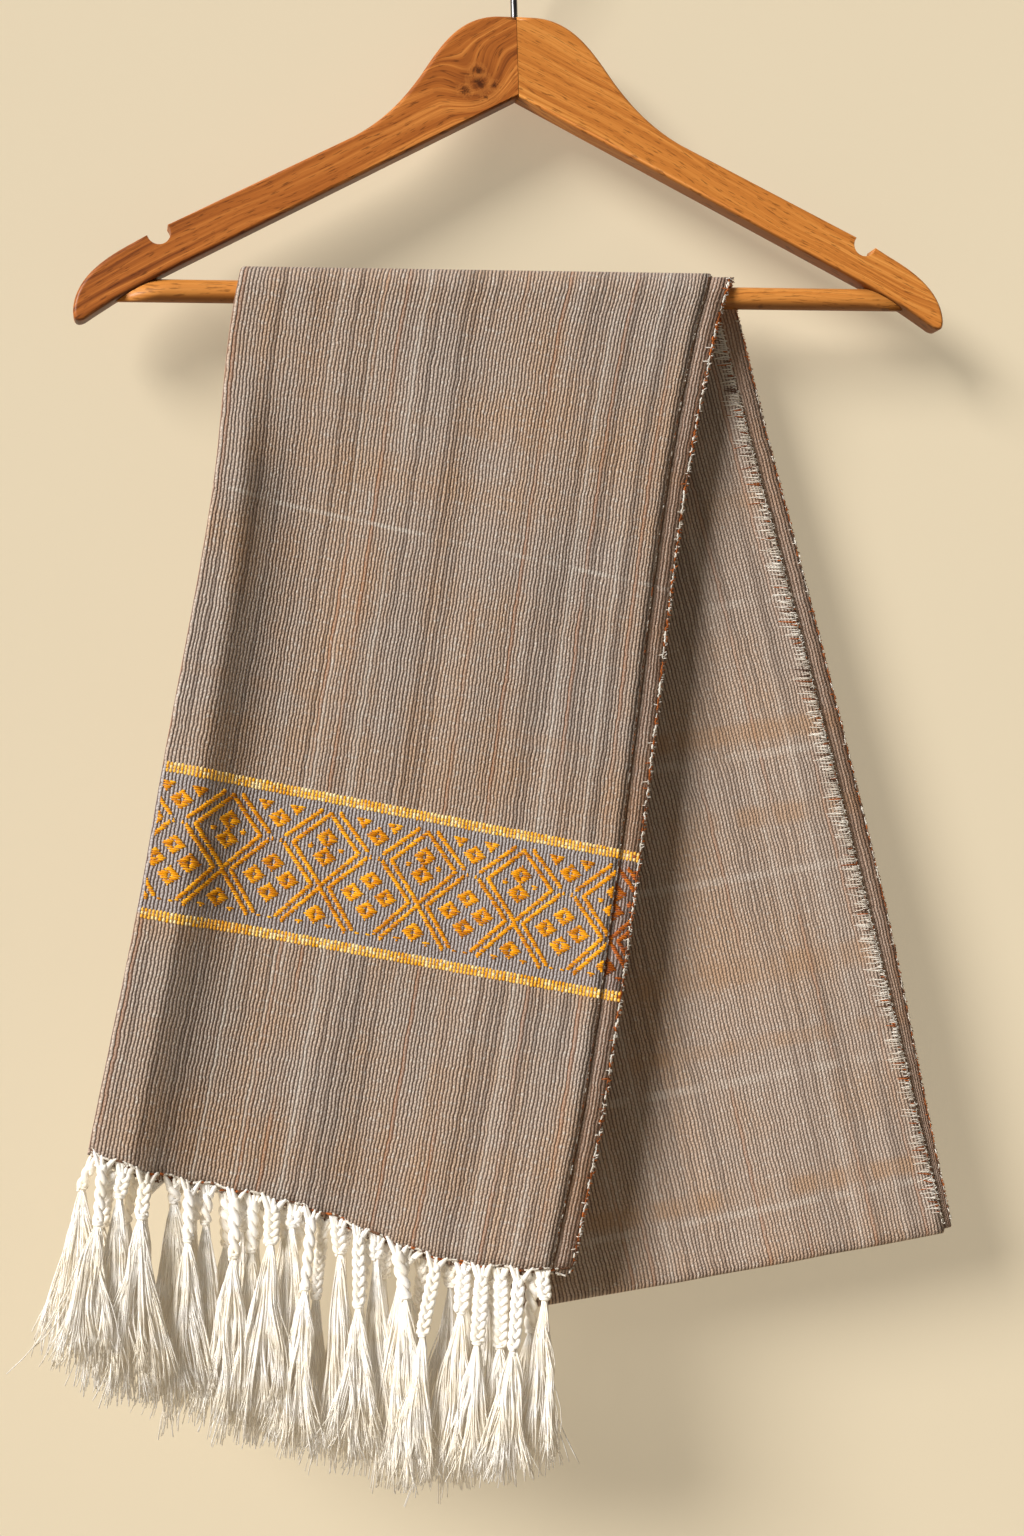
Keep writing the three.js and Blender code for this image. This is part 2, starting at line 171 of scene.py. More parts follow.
def make_mesh(name, points, faces, materials, smooth_faces=True, slots=0, uv=None):
    """A mesh object from points in millimetres; slots is the material index of each face."""
    me = bpy.data.meshes.new(name)
    me.from_pydata((points * MM).tolist(), [], faces)
    for material in materials:
        me.materials.append(material)
    each = np.zeros(len(me.polygons), np.int32)
    me.polygons.foreach_set("material_index", each + np.asarray(slots, np.int32))
    me.polygons.foreach_set("use_smooth", each + np.asarray(smooth_faces) > 0)
    if uv is not None:
        layer = me.uv_layers.new(name="weave")
        index = np.empty(len(me.loops), np.int32)
        me.loops.foreach_get("vertex_index", index)
        layer.uv.foreach_set("vector", np.asarray(uv, np.float32)[index].ravel())
    me.update()
    return add_object(name, me)


class Tubes:
    """Gathers tubes along many paths into one mesh."""

    def __init__(self):
        self.points = []
        self.faces = []
        self.slots = []
        self.count = 0

    def add(self, paths, radii, sides, slot=0, squash=1.0):
        """paths is (tubes, steps, 3); radii broadcasts to (tubes, steps); slot to (tubes,)."""
        paths = np.asarray(paths, float)
        tubes, steps, _ = paths.shape
        radii = np.broadcast_to(radii, (tubes, steps))
        slot = np.broadcast_to(slot, (tubes,))
        along = unit(np.gradient(paths, axis=1))
        side = unit(np.cross(along, np.array([0.0, 1.0, 0.0])))
        up = np.cross(side, along)
        turn = (np.arange(sides) * tau / sides)[:, None]
        ring = side[:, :, None] * np.cos(turn) + up[:, :, None] * np.sin(turn) * squash
        points = paths[:, :, None] + ring * radii[:, :, None, None]
        self.points.append(points.reshape(-1, 3))
        start = self.count + np.arange(tubes)[:, None, None] * steps * sides
        start = start + np.arange(steps - 1)[:, None] * sides
        j = np.arange(sides)
        k = (j + 1) % sides
        quads = np.stack([start + j, start + k, start + sides + k, start + sides + j], axis=-1)
        self.faces.extend(quads.reshape(-1, 4).tolist())
        first = start[:, 0] + j
        last = first + (steps - 1) * sides
        self.faces.extend(first[:, ::-1].tolist() + last.tolist())
        self.slots.extend([*np.repeat(slot, (steps - 1) * sides), *slot, *slot])
        self.count += tubes * steps * sides

    def mesh(self, name, materials):
        points = np.concatenate(self.points)
        return make_mesh(name, points, self.faces, materials, slots=self.slots)


# ---------------------------------------------------------------- materials


class Value:
    """A number, place or colour in a node tree; arithmetic on it adds Math nodes."""

    def __init__(self, nodes, socket):
        self.nodes = nodes
        self.socket = socket

    def __rsub__(self, other):
        return self.nodes.math("SUBTRACT", other, self)


def operator(operation):
    return lambda value, *others: value.nodes.math(operation, value, *others)


for sign, operation in (
    ("add", "ADD"),
    ("sub", "SUBTRACT"),
    ("mul", "MULTIPLY"),
    ("truediv", "DIVIDE"),
    ("abs", "ABSOLUTE"),
    ("lt", "LESS_THAN"),
    ("gt", "GREATER_THAN"),
):
    setattr(Value, f"__{sign}__", operator(operation))


class Nodes:
    """A node tree, written as short expressions."""

    def __init__(self, tree):
        self.tree = tree

    def put(self, socket, value):
        if isinstance(value, Value):
            self.tree.links.new(value.socket, socket)
        else:
            socket.default_value = value

    def fill(self, made, **inputs):
        """Sets or links a node's inputs by name, with _ for a blank."""
        for key, value in inputs.items():
            self.put(made.inputs[key.replace("_", " ")], value)

    def node(self, kind, *values, **settings):
        """A new node with its first inputs filled in order, but for any given as None."""
        made = self.tree.nodes.new("ShaderNode" + kind)
        for key, value in settings.items():
            setattr(made, key, value)
        for socket, value in zip(made.inputs, values):
            if value is not None:
                self.put(socket, value)
        return made

    def value(self, kind, *values, output=0, **settings):
        return Value(self, self.node(kind, *values, **settings).outputs[output])

    def math(self, operation, *values):
        return self.value("Math", *values, operation=operation)

    def coords(self, kind="Object"):
        return self.value("TexCoord", output=kind)

    def split(self, vector):
        return [Value(self, socket) for socket in self.node("SeparateXYZ", vector).outputs]

    def join(self, x, y, z=0.0):
        return self.value("CombineXYZ", x, y, z)

    def mapped(self, vector, scale=(1, 1, 1), turn=(0, 0, 0), shift=(0, 0, 0)):
        return self.value("Mapping", vector, shift, turn, scale)

    def noise(self, vector, scale=1.0, detail=2.0, rough=0.5, distort=0.0):
        made = self.node("TexNoise", vector)
        self.fill(made, Scale=scale, Detail=detail, Roughness=rough, Distortion=distort)
        return Value(self, made.outputs[0])

    def dice(self, number):
        """A random value for each whole number."""
        return self.value("TexWhiteNoise", None, number, noise_dimensions="1D")

    def ridge(self, value):
        """A rounded ridge over each whole number's span, 0 at its ends and 1 at its middle."""
        return abs(self.math("SINE", value * pi))

    def ramp(self, value, stops):
        made = self.node("ValToRGB", value)
        marks = made.color_ramp.elements
        while len(marks) < len(stops):
            marks.new(0.5)
        for mark, (at, colour) in zip(marks, stops):
            mark.position = at
            mark.color = (*colour, 1)
        return Value(self, made.outputs[0])

    def blend(self, factor, a, b):
        made = self.node("Mix", factor, data_type="RGBA")
        for socket, value in ((made.inputs[6], a), (made.inputs[7], b)):
            self.put(socket, value if isinstance(value, Value) else (*value, 1))
        return Value(self, made.outputs[2])

    def step(self, value, low, high):
        """0 below low, 1 above high, smooth between."""
        return self.value("MapRange", value, low, high, interpolation_type="SMOOTHSTEP")


class Shader(Nodes):
    """A procedural material with one Principled surface."""

    def __init__(self, name, **inputs):
        self.material = bpy.data.materials.new(name)
        self.material.use_nodes = True
        super().__init__(self.material.node_tree)
        self.tree.nodes.clear()
        self.out = self.node("OutputMaterial")
        self.surface = self.node("BsdfPrincipled")
        self.fill(self.surface, **inputs)
        self.show(Value(self, self.surface.outputs[0]))

    def show(self, surface):
        self.fill(self.out, Surface=surface)

    def finish(self, colour, height=None, strength=0.5, distance=0.001):
        self.fill(self.surface, Base_Color=colour)
        if height is not None:
            bump = self.node("Bump")
            self.fill(bump, Strength=strength, Distance=distance, Height=height)
            self.fill(self.surface, Normal=Value(self, bump.outputs[0]))
        return self.material


def srgb(r, g, b):
    """A colour read on a 0 to 255 scale, as linear light."""
    def line(v):
        v /= 255
        return v / 12.92 if v <= 0.04045 else ((v + 0.055) / 1.055) ** 2.4
    return (line(r), line(g), line(b))


def darker(colour, share):
    return [share * c for c in colour]


WARP = 1.8 * MM  # rib to rib
PICK = 1.7 * MM  # bead to bead along a rib
RIB_WANDER = 1.6 * MM  # how far ribs stray, over many beads and from bead to bead
RIB_SHIVER = 0.9 * MM
BEAD_STRAY = 1.9  # how far beads slip along a rib, in beads
BEAD_DEPTH = 0.48  # share of a rib's height that dips between its beads
FUZZ = 0.25  # height of the yarn's own hair
STEP_WIDE = 0.5 * MM  # half the width over which the band's ground begins
MIDDLE = -540.0  # the stole's middle, on the weave map

PALE = (0.72, 0.67, 0.60)
TAN = (0.42, 0.22, 0.09)
# place along the weave map, half width, colour and strength of the weft bars; places beyond the
# stole's middle are on the half that lies inside
WEFT_BARS = [
    (118, 1.6, PALE, 0.42),
    (62, 5.0, TAN, 0.2),
    (206, 4.0, TAN, 0.18),
    (-150, 1.6, PALE, 0.5),
    (-215, 5.0, TAN, 0.35),
    (-300, 1.6, PALE, 0.5),
    (-372, 4.0, TAN, 0.35),
    (-455, 1.8, PALE, 0.6),
    (-508, 6.0, TAN, 0.4),
    (-566, 2.6, PALE, 0.36),
    (-575, 7.0, TAN, 0.6),
    (-634, 3.4, PALE, 0.36),
    (-652, 6.0, TAN, 0.45),
    (-690, 10.0, TAN, 0.5),
    (-738, 3.0, PALE, 0.32),
    (-768, 8.0, TAN, 0.5),
    (-800, 3.4, PALE, 0.32),
    (-812, 8.0, TAN, 0.55),
    (-878, 2.8, PALE, 0.32),
    (-930, 6.0, TAN, 0.25),
]
# yarns of the warp that differ: the share of them from and to, colour and strength
ODD_WARPS = [
    (0.0, 0.14, (62, 40, 28), 0.34),
    (0.14, 0.19, (160, 96, 48), 0.36),
    (0.19, 0.24, (222, 214, 204), 0.22),
    (0.24, 0.42, (96, 72, 58), 0.16),
]


def cloth_material(name, wrong_side):
    s = Shader(name, Roughness=0.88, Sheen_Weight=0.15, Sheen_Roughness=0.5, Specular_IOR_Level=0.2)
    weave = s.value("UVMap", uv_map="weave")
    across, along, _ = s.split(weave)

    def spots(over, down, shift=(0, 0), detail=1, rough=0.5):
        """Noise with so many spots to the metre across the cloth and along it."""
        return s.noise(s.mapped(weave, scale=(over, down, 1), shift=(*shift, 0)), 1.0, detail, rough)

    stray = (spots(260, 330) - 0.5) * RIB_SHIVER
    rib = (across + (spots(70, 70) - 0.5) * RIB_WANDER + stray) / WARP
    number = s.math("FLOOR", rib)
    half = s.math("MODULO", abs(number), 2) * 0.5
    bead = along / PICK + (half + spots(420, 420) * BEAD_STRAY)
    rib_height = s.ridge(rib)
    height = rib_height * (s.ridge(bead) * BEAD_DEPTH + (1 - BEAD_DEPTH))
    height = height * 0.85 + spots(1100, 1100) * FUZZ

    # tints: stripes of warp, bands of weft, and clouds where the dye has taken unevenly
    stripes = spots(55, 0.6, shift=(4.7, 0), detail=3, rough=0.65)
    bands = spots(0.5, 17, shift=(0, 2.3), detail=3, rough=0.65)
    cloud = spots(14, 12, shift=(1.7, 5), detail=3, rough=0.6)
    warm = s.step(stripes * 0.28 + bands * 0.32 + cloud * 0.4, 0.42, 0.62)
    # low is painted shade for the hollows between ribs and beads, high the yarn's own colour; both
    # carry the tints
    low = s.blend(warm, srgb(80, 63, 54), srgb(88, 62, 45))
    high = s.blend(warm, srgb(199, 181, 167), srgb(202, 170, 142))
    fleck = s.step(spots(380, 420, shift=(0, 5)), 0.52, 0.75)
    high = s.blend(fleck * 0.6, high, srgb(226, 218, 208))
    # painted shade: the weave's low places take the dark colour
    ground = s.blend(s.step(height, 0.14, 0.84), low, high)

    # some gaps between the ribs are painted dark, as painted shade seen through an open weave; the
    # half that hangs inside gets more of this painted shade, and is a little paler
    inner_half = 1.0 - s.step(along, (MIDDLE - 6) * MM, (MIDDLE + 4) * MM)
    gap = s.math("ROUND", rib)
    gap_fade = s.noise(s.join(gap * 5.17, along * 9), detail=1)
    chosen = s.dice(gap) < inner_half * 0.16 + 0.42
    gap_shade = chosen * s.step(gap_fade, 0.34, 0.56) * (1.0 - s.step(rib_height, 0.15, 0.6))
    ground = s.blend(gap_shade * (inner_half * 0.42 + 0.5), ground, srgb(54, 38, 29))

    # single warp yarns that are darker, rustier or whiter, for part of their length
    dice = s.dice(number)
    fade = s.step(s.noise(s.join(number * 7.31, along * 7), detail=1), 0.36, 0.58)
    for share_from, share_to, colour, amount in ODD_WARPS:
        chosen = (dice > share_from) * (dice < share_to) * (fade * amount)
        ground = s.blend(chosen, ground, srgb(*colour))

    # weft bars: single picks of paler or rustier yarn, woven in here and there
    for at, wide, colour, amount in WEFT_BARS:
        line = 1.0 - s.step(abs(along - at * MM), 0.3 * wide * MM, wide * MM)
        patchy = s.step(spots(60, 3, shift=(at, 0), detail=2), 0.34, 0.6)
        ground = s.blend(line * amount * patchy * s.step(height, 0.1, 0.5), ground, colour)

    # the band's ground: the same weave, a little greyer and more even, with the same painted shade
    # in its low places
    reach = abs(along - MIDDLE * MM)
    near, far = ((BAND_START - MIDDLE + down) * MM for down in (0, BAND_TALL))
    inside = s.step(reach, near - STEP_WIDE, near + STEP_WIDE)
    inside = inside * (1.0 - s.step(reach, far - STEP_WIDE, far + STEP_WIDE))
    band = s.blend(s.step(height, 0.2, 0.85), srgb(82, 64, 58), srgb(188, 184, 186))
    ground = s.blend(inside * 0.75, ground, band)
    ground = s.blend(inner_half * 0.16, ground, srgb(232, 204, 182))
    if wrong_side:
        ground = s.blend(0.2, ground, srgb(186, 132, 98))
    return s.finish(ground, height, strength=1.0, distance=0.6 * MM)


def yarn_material(name, light, dark, rough=0.6, twist=1500, glow=0.0):
    """Yarn of two shades; glow is painted light, a faint warm emission that stands in for light
    coming through loose pale threads.
    """
    light, dark = srgb(*light), srgb(*dark)
    s = Shader(name, Roughness=rough, Specular_IOR_Level=0.25, Emission_Strength=glow)
    # painted glow: the warm colour of that emission, which also warms the yarn's shade
    s.fill(s.surface, Emission_Color=(1.0, 0.82, 0.6, 1))
    broad = s.noise(s.coords(), scale=70)
    fine = s.noise(s.coords(), scale=twist, detail=1)
    tone = s.blend(s.step(broad, 0.35, 0.65), dark, light)
    tone = s.blend(s.step(fine, 0.5, 0.75) * 0.25, tone, darker(dark, 0.6))
    return s.finish(tone, fine, distance=0.2 * MM)


KNOT = (-21.0, -110.0)
KNOT_PULL = 12 * MM  # how far the grain is pushed up at the knot
# the knot's dark eyes: right of and above its middle, and radius
KNOT_EYES = [(0.5, 0, 2.7), (-7.0, -4.0, 1.6), (8.5, -1.0, 1.5), (0, 6.5, 1.9), (3.5, -7.0, 1.0)]


def knotted(s, tone, tones, distance, offset):
    """The knot: a darker heart with eyes, each an uneven dark core in a pale ring."""
    swirl = s.noise(s.coords(), scale=260, detail=3, rough=0.6, distort=2.0)
    shaky = (swirl - 0.5) * (7 * MM)
    at_x, _, at_z = s.split(offset)
    heart = 1.0 - s.step(distance, 5 * MM, 16 * MM)
    tone = s.blend(heart * 0.35, tone, tones[0])
    for eye_x, eye_z, size in KNOT_EYES:
        over = (at_x - eye_x * MM) * 0.8
        up = at_z - eye_z * MM
        far = (s.math("SQRT", over * over + up * up) + shaky) / (size * MM)
        core = 1.0 - s.step(far, 0.1, 1.6)
        halo = s.step(far, 1.2, 1.8) * (1.0 - s.step(far, 1.8, 2.6))
        tone = s.blend(halo * 0.2, tone, tones[2])
        tone = s.blend(core * 0.82, tone, darker(tones[0], 0.25))
    return tone


def wood_material(name, turn, tones, has_knot=False, shift=0.0, grain=330):
    """Varnished wood with its grain along the piece; tones run from dark to light."""
    s = Shader(name, Roughness=0.5, Coat_Weight=0.14, Coat_Roughness=0.25, Specular_IOR_Level=0.2)
    tones = [srgb(*tone) for tone in tones]
    flat = s.mapped(s.coords(), turn=(0, turn, 0), shift=(shift, 0, 0))
    if has_knot:
        centre = (KNOT[0] * MM, -ARM_THICK / 2 * MM, KNOT[1] * MM)
        offset = s.value("VectorMath", s.coords(), centre, operation="SUBTRACT")
        distance = s.value("VectorMath", offset, output="Value", operation="LENGTH")
        pull = (1.0 - s.step(distance, 0.0, 24 * MM)) * KNOT_PULL
        flat = s.value("VectorMath", flat, s.join(0.0, 0.0, pull), operation="ADD")
    bend = s.noise(s.mapped(flat, scale=(9, 30, 30)))
    x, y, z = s.split(flat)
    level = z + (bend - 0.5) * (14 * MM) + y * 0.35
    rings = s.noise(s.join(x * 5, 0.0, level * grain), detail=4, rough=0.65)
    pores = s.noise(s.join(x * 130, y * 300, level * 1500))
    wide = s.noise(s.join(x * 8, 0.0, level * 70), detail=1)
    tone = s.ramp(rings, [(0.28, tones[0]), (0.5, tones[1]), (0.68, tones[2])])
    tone = s.blend(s.step(wide, 0.4, 0.66) * 0.45, tone, tones[1])
    tone = s.blend(s.step(pores, 0.56, 0.68) * 0.6, tone, darker(tones[0], 0.35))
    # painted shade: darker on the undersides and down the right-hand edges, away from the light on
    # the left
    right, _, up = s.split(s.coords("Normal"))
    below = s.step(up * -1.0, 0.25, 0.8)
    edge = s.math("MAXIMUM", below * 0.72, s.step(right, 0.35, 0.9) * 0.6)
    tone = s.blend(edge, tone, darker(tones[0], 0.28))
    if has_knot:
        tone = knotted(s, tone, tones, distance, offset)
    return s.finish(tone, pores, strength=0.12, distance=0.2 * MM)


def steel_material():
    s = Shader("dark_steel", Metallic=1.0, Roughness=0.28)
    scratch = s.noise(s.mapped(s.coords(), scale=(900, 900, 60)))
    tone = s.blend(s.step(scratch, 0.35, 0.7), (0.10, 0.10, 0.105), (0.24, 0.24, 0.25))
    return s.finish(tone, scratch, strength=0.08, distance=0.1 * MM)


def wall_material():
    """Cream in front and nothing from behind, so that the object shows from all sides."""
    s = Shader("cream_wall", Roughness=0.95, Specular_IOR_Level=0.1, Emission_Strength=0.8)
    plaster = s.noise(s.coords(), scale=3.0, detail=3)
    tone = s.blend(plaster, srgb(175, 163, 140), srgb(179, 167, 144))
    s.fill(s.surface, Emission_Color=tone)
    side = s.value("NewGeometry", output="Backfacing")
    painted = Value(s, s.surface.outputs[0])
    s.show(s.value("MixShader", side, painted, s.value("BsdfTransparent")))
    return s.finish(tone)


def floor_material():
    s = Shader("pale_floor", Roughness=0.9, Specular_IOR_Level=0.15)
    fine = s.noise(s.coords(), scale=14.0, detail=3)
    return s.finish(s.blend(fine, srgb(166, 156, 140), srgb(174, 164, 148)))


cloth_right = cloth_material("handwoven_right_side", False)
cloth_wrong = cloth_material("handwoven_wrong_side", True)
gold_yarn = yarn_material("gold_brocade_yarn", (250, 182, 30), (234, 158, 12), rough=0.55)
amber_yarn = yarn_material("amber_yarn", (230, 156, 20), (196, 122, 8), rough=0.55)
rust_gold_yarn = yarn_material("rust_gold_yarn", (206, 118, 26), (150, 74, 14), rough=0.5)
pale_gold_yarn = yarn_material("pale_gold_yarn", (255, 202, 92), (248, 182, 62), rough=0.5)
bead_yarn = yarn_material("bead_yarn", (255, 232, 176), (250, 214, 140), rough=0.5)
white_yarn = yarn_material("white_yarn", (244, 238, 228), (224, 214, 200))
brown_yarn = yarn_material("brown_yarn", (128, 92, 68), (84, 54, 36))
orange_yarn = yarn_material("orange_yarn", (190, 104, 44), (142, 74, 28))
# the tassel yarn has a painted glow
tassel_yarn = yarn_material("tassel_yarn", (254, 251, 246), (249, 242, 228), twist=3000, glow=0.055)
steel = steel_material()

ARM_TILT = radians(26.9)
TONES_LEFT = ((104, 48, 17), (174, 99, 39), (220, 143, 68))
TONES_RIGHT = ((156, 84, 30), (202, 126, 54), (226, 154, 76))
TONES_BAR = ((176, 102, 38), (210, 136, 62), (228, 160, 86))
wood_left = wood_material("varnished_wood_left", ARM_TILT, TONES_LEFT, has_knot=True)
wood_right = wood_material("varnished_wood_right", -ARM_TILT, TONES_RIGHT, shift=0.4, grain=520)
wood_bar = wood_material("varnished_bar", 0.0, TONES_BAR, shift=0.9, grain=480)

# ---------------------------------------------------------------- hanger


def bezier(points, steps):
    """Points of a Bezier curve, without its first."""
    t = np.linspace(0, 1, steps + 1)[1:, None]
    rows = [np.asarray(point, float) for point in points]
    while len(rows) > 1:
        rows = [mix(a, b, t) for a, b in zip(rows, rows[1:])]
    return rows[0]


def arm_outline():
    """The right arm's outline in x and z, anticlockwise from the mitre's foot."""
    mitre = MITRE_GAP / 2
    turn = np.radians(np.linspace(NOTCH_FROM, NOTCH_TO, 25))
    notch = np.array(NOTCH) + NOTCH_RADIUS * np.column_stack([np.cos(turn), np.sin(turn)])
    runs = [
        [(mitre, CROTCH)],
        [SEAT_INNER],
        [SEAT_OUTER],
        bezier([SEAT_OUTER, (214, -227.5), UNDER_TIP], 8),
        bezier([UNDER_TIP, (TIP_X, -235), (TIP_X, -228)], 10),
        bezier([(TIP_X, -228), (TIP_X - 1, -212), (211, -201), notch[0]], 24),
        notch[1:],
        [SHOULDER],
        bezier([SHOULDER, (68, -129), (58, -117), NECK], 20),
        bezier([NECK, (40, -92), (30, DOME_TOP), (8, DOME_TOP)], 26),
        [(mitre, DOME_TOP)],
    ]
    return np.concatenate([np.asarray(run, float) for run in runs])


def inset(outline, by):
    """The outline drawn in by a distance, each corner along its mitre."""
    after = unit(np.roll(outline, -1, axis=0) - outline)
    left = np.stack([-after[:, 1], after[:, 0]], axis=1)
    normal = unit(np.roll(left, 1, axis=0) + left)
    scale = 1 / np.maximum((normal * left).sum(axis=1), 0.5)
    return outline + normal * (by * scale)[:, None]


def stack(name, rings, material, mirror=False):
    """A closed piece through a stack of like rings, smooth at its sides and flat at its ends."""
    points = np.concatenate(rings)
    count = len(rings[0])
    faces = []
    for first in range(0, len(points) - count, count):
        for j in range(count):
            k = (j + 1) % count
            faces.append((first + j, first + k, first + count + k, first + count + j))
    flags = [True] * len(faces) + [False, False]
    faces.append(tuple(range(count - 1, -1, -1)))
    faces.append(tuple(range(len(points) - count, len(points))))
    if mirror:
        points[:, 0] *= -1
        faces = [face[::-1] for face in faces]
    return make_mesh(name, points, faces, [material], smooth_faces=flags)


def arm(name, mirror, material):
    outline = arm_outline()
    # the long edges are rounded, and the notch's rim is nearly sharp
    from_notch = np.hypot(*(outline - np.array(NOTCH)).T) - NOTCH_RADIUS
    rounding = ARM_ROUND * np.clip(NOTCH_SHARP + from_notch / NOTCH_EASE, NOTCH_SHARP, 1)
    angles = np.linspace(0, pi / 2, 8)
    rings = []
    for side in (-1, 1):
        for angle in angles[::-side]:
            drawn = inset(outline, rounding * (1 - sin(angle)))
            mitre = outline[:, 0] < 1  # the joint's face stays flat
            drawn[mitre, 0] = outline[mitre, 0]
            y = side * (ARM_THICK / 2 - rounding * (1 - cos(angle)))
            rings.append(np.column_stack([drawn[:, 0], y, drawn[:, 1]]))
    return stack(name, rings, material, mirror)


def bar():
    slant = (SEAT_OUTER[0] - SEAT_INNER[0]) / (SEAT_INNER[1] - SEAT_OUTER[1])
    clear = MITRE_GAP * hypot(1, slant)
    sides = 48
    turn = np.arange(sides) * tau / sides
    z = BAR_Z + BAR_RADIUS * np.cos(turn)
    y = BAR_RADIUS * np.sin(turn)
    reach = SEAT_INNER[0] + (SEAT_INNER[1] - z) * slant - clear
    rings = [np.column_stack([mix(-reach, reach, t), y, z]) for t in np.linspace(0, 1, 25)]
    return stack("bar_rod", rings, wood_bar)


def hook():
    centre = WIRE - LOOP
    turn = radians(LOOP_JOIN)
    join = (LOOP * cos(turn), centre + LOOP * sin(turn))
    ease = 9
    before_join = (join[0] + ease * sin(turn), join[1] - ease * cos(turn))
    stem = [(0, z) for z in np.linspace(STEM_BOTTOM, STEM_TOP, 8)]
    bend = bezier([(0, STEM_TOP), (0, STEM_TOP + ease), before_join, join], 14)
    angles = np.radians(np.linspace(LOOP_JOIN, LOOP_TIP, 60))[1:]
    loop = np.column_stack([LOOP * np.cos(angles), centre + LOOP * np.sin(angles)])
    line = np.concatenate([stem, bend, loop])
    path = np.column_stack([line[:, 0], np.zeros(len(line)), line[:, 1]])
    direction = unit(path[-1] - path[-2])
    # the tip is rounded: distance past the wire's end, and radius there
    rounded = [(0.6, 1.6), (1.2, 1.1), (1.7, 0.3)]
    path = np.concatenate([path, [path[-1] + direction * past for past, _ in rounded]])
    radii = np.full(len(path), WIRE)
    radii[-len(rounded):] = [radius for _, radius in rounded]
    tubes = Tubes()
    tubes.add(path[None], radii[None], 20)
    return tubes.mesh("hook_wire", [steel])


# ---------------------------------------------------------------- cloth

LEAF = 480.0  # a leaf's usual drop
BACK_LEAN = 3.0  # how far the back leaf swings out by its foot, and its one low wave
BACK_WAVE = 1.2
FRONT_LEAN = 5.5  # the same for the front leaf, with more at its lower selvedge corner
CORNER_LEAN = 9.0
FRONT_WAVE = 1.9
ROLL = 13.0  # how proud the long fold's edge stands: near the bar, and how much more lower down
ROLL_MORE = 6.5
ROLL_WIDE = 0.03  # how fast the cloth drops beside the roll, as a share across
FLAT_TOP = 0.038  # share across at which it starts to drop, and how much further lower down
FLAT_MORE = 0.034


def billow(front, share, fall):
    """How far a leaf stands out from the plane of its side of the bar."""
    down = fall / LEAF
    ease = smooth(fall / 160)
    behind = BACK_LEAN * down + ease * BACK_WAVE * np.sin(5.2 * share + 2.2 * down)
    flare = FRONT_LEAN * down + CORNER_LEAN * down * smooth((share - 0.5) / 0.55)
    waves = FRONT_WAVE + FRONT_WAVE * np.sin(6.4 * share + 1.6 * down - 2.4)
    # the long fold's edge stands proud as a roll, and the cloth drops steeply beside it
    lower = smooth(fall / 300)
    past = np.maximum(share - FLAT_TOP - FLAT_MORE * lower, 0)
    roll = (ROLL + ROLL_MORE * lower) / np.cosh(past / (ROLL_WIDE * (1 + lower)))
    ahead = flare + ease * waves + roll * smooth((fall - 25) / 80)
    return np.where(front, ahead, behind)


# small unevenness of handwoven cloth: height, waves over the width and over the drop, and phase
COCKLES = [
    (0.28, 23, 0.021, 1.3),
    (0.22, -31, 0.037, 0),
    (0.18, 9, -0.055, 0.6),
    (0.15, 47, 0.008, 2.0),
]


def cockle(share, drop):
    return sum(tall * np.sin(over * share + down * drop + at) for tall, over, down, at in COCKLES)


LEDGE_TUCK = 0.6  # share of its width that the ledge tucks in, low on the leaf
FAN_FRONT = 0.7  # how far apart the layers fan out at the selvedge, layer by layer
FAN_BACK = 1.5


def place(radius, across, away, drop):
    """A point of the cloth; drop is below zero down the back leaf."""
    across, away, drop = np.broadcast_arrays(across, away, drop)
    front = drop >= 0
    depth = np.abs(drop)
    share = across / PANEL
    fold = np.where(front, front_fold(depth), back_fold(depth))
    selvedge = np.where(front, front_selvedge(depth), back_selvedge(depth))
    x = mix(fold, selvedge, share)
    past = np.maximum(across - PANEL, 0) * LEDGE_TUCK * smooth((depth - 300) / 240)
    x = np.where(front, x, x - past)
    reach = radius + away
    angle = np.minimum(depth / QUARTER, 1) * pi / 2
    fall = np.maximum(depth - QUARTER, 0)
    order = (reach - INNER + PITCH / 2) / PITCH  # 0 for the layer on the bar, 3 for the outermost
    spread = np.where(front, FAN_FRONT, FAN_BACK) * np.clip(share, 0, FULL) ** 2
    fan = order * spread * smooth(fall / 110)
    out = reach * np.sin(angle) + billow(front, share, fall) * (fall > 0) + fan
    out = out + cockle(share, drop) * smooth(fall / 60)
    y = np.where(front, -out, out)
    z = BAR_Z + reach * np.cos(angle) - fall
    return np.stack([x, y, z], axis=-1)


def share_of(across):
    return np.clip(across / (PANEL * FULL), 0, 1) * FULL


def hem_line(radius, side, across):
    """The hem's drop on one layer, drawn down a little at every tassel."""
    pull = np.cos(tau * (across * TASSELS / PANEL - PHASE[radius, side]))
    return hem_at(share_of(across)) + EXTRA_HEM[radius] + HEM_DIP * pull


def fold_drop(across):
    return fold_at(share_of(across))


def weave_along(radius, across, drop):
    """Place along the stole on the weave map, in millimetres."""
    slope = mix(BACK_SLOPE, FRONT_SLOPE, smooth((drop + 50) / 100))
    s = drop - slope * across
    return s if radius == OUTER else 2 * MIDDLE - s


CROWD = 1.5  # how much the section's points crowd towards the long fold, where the roll is


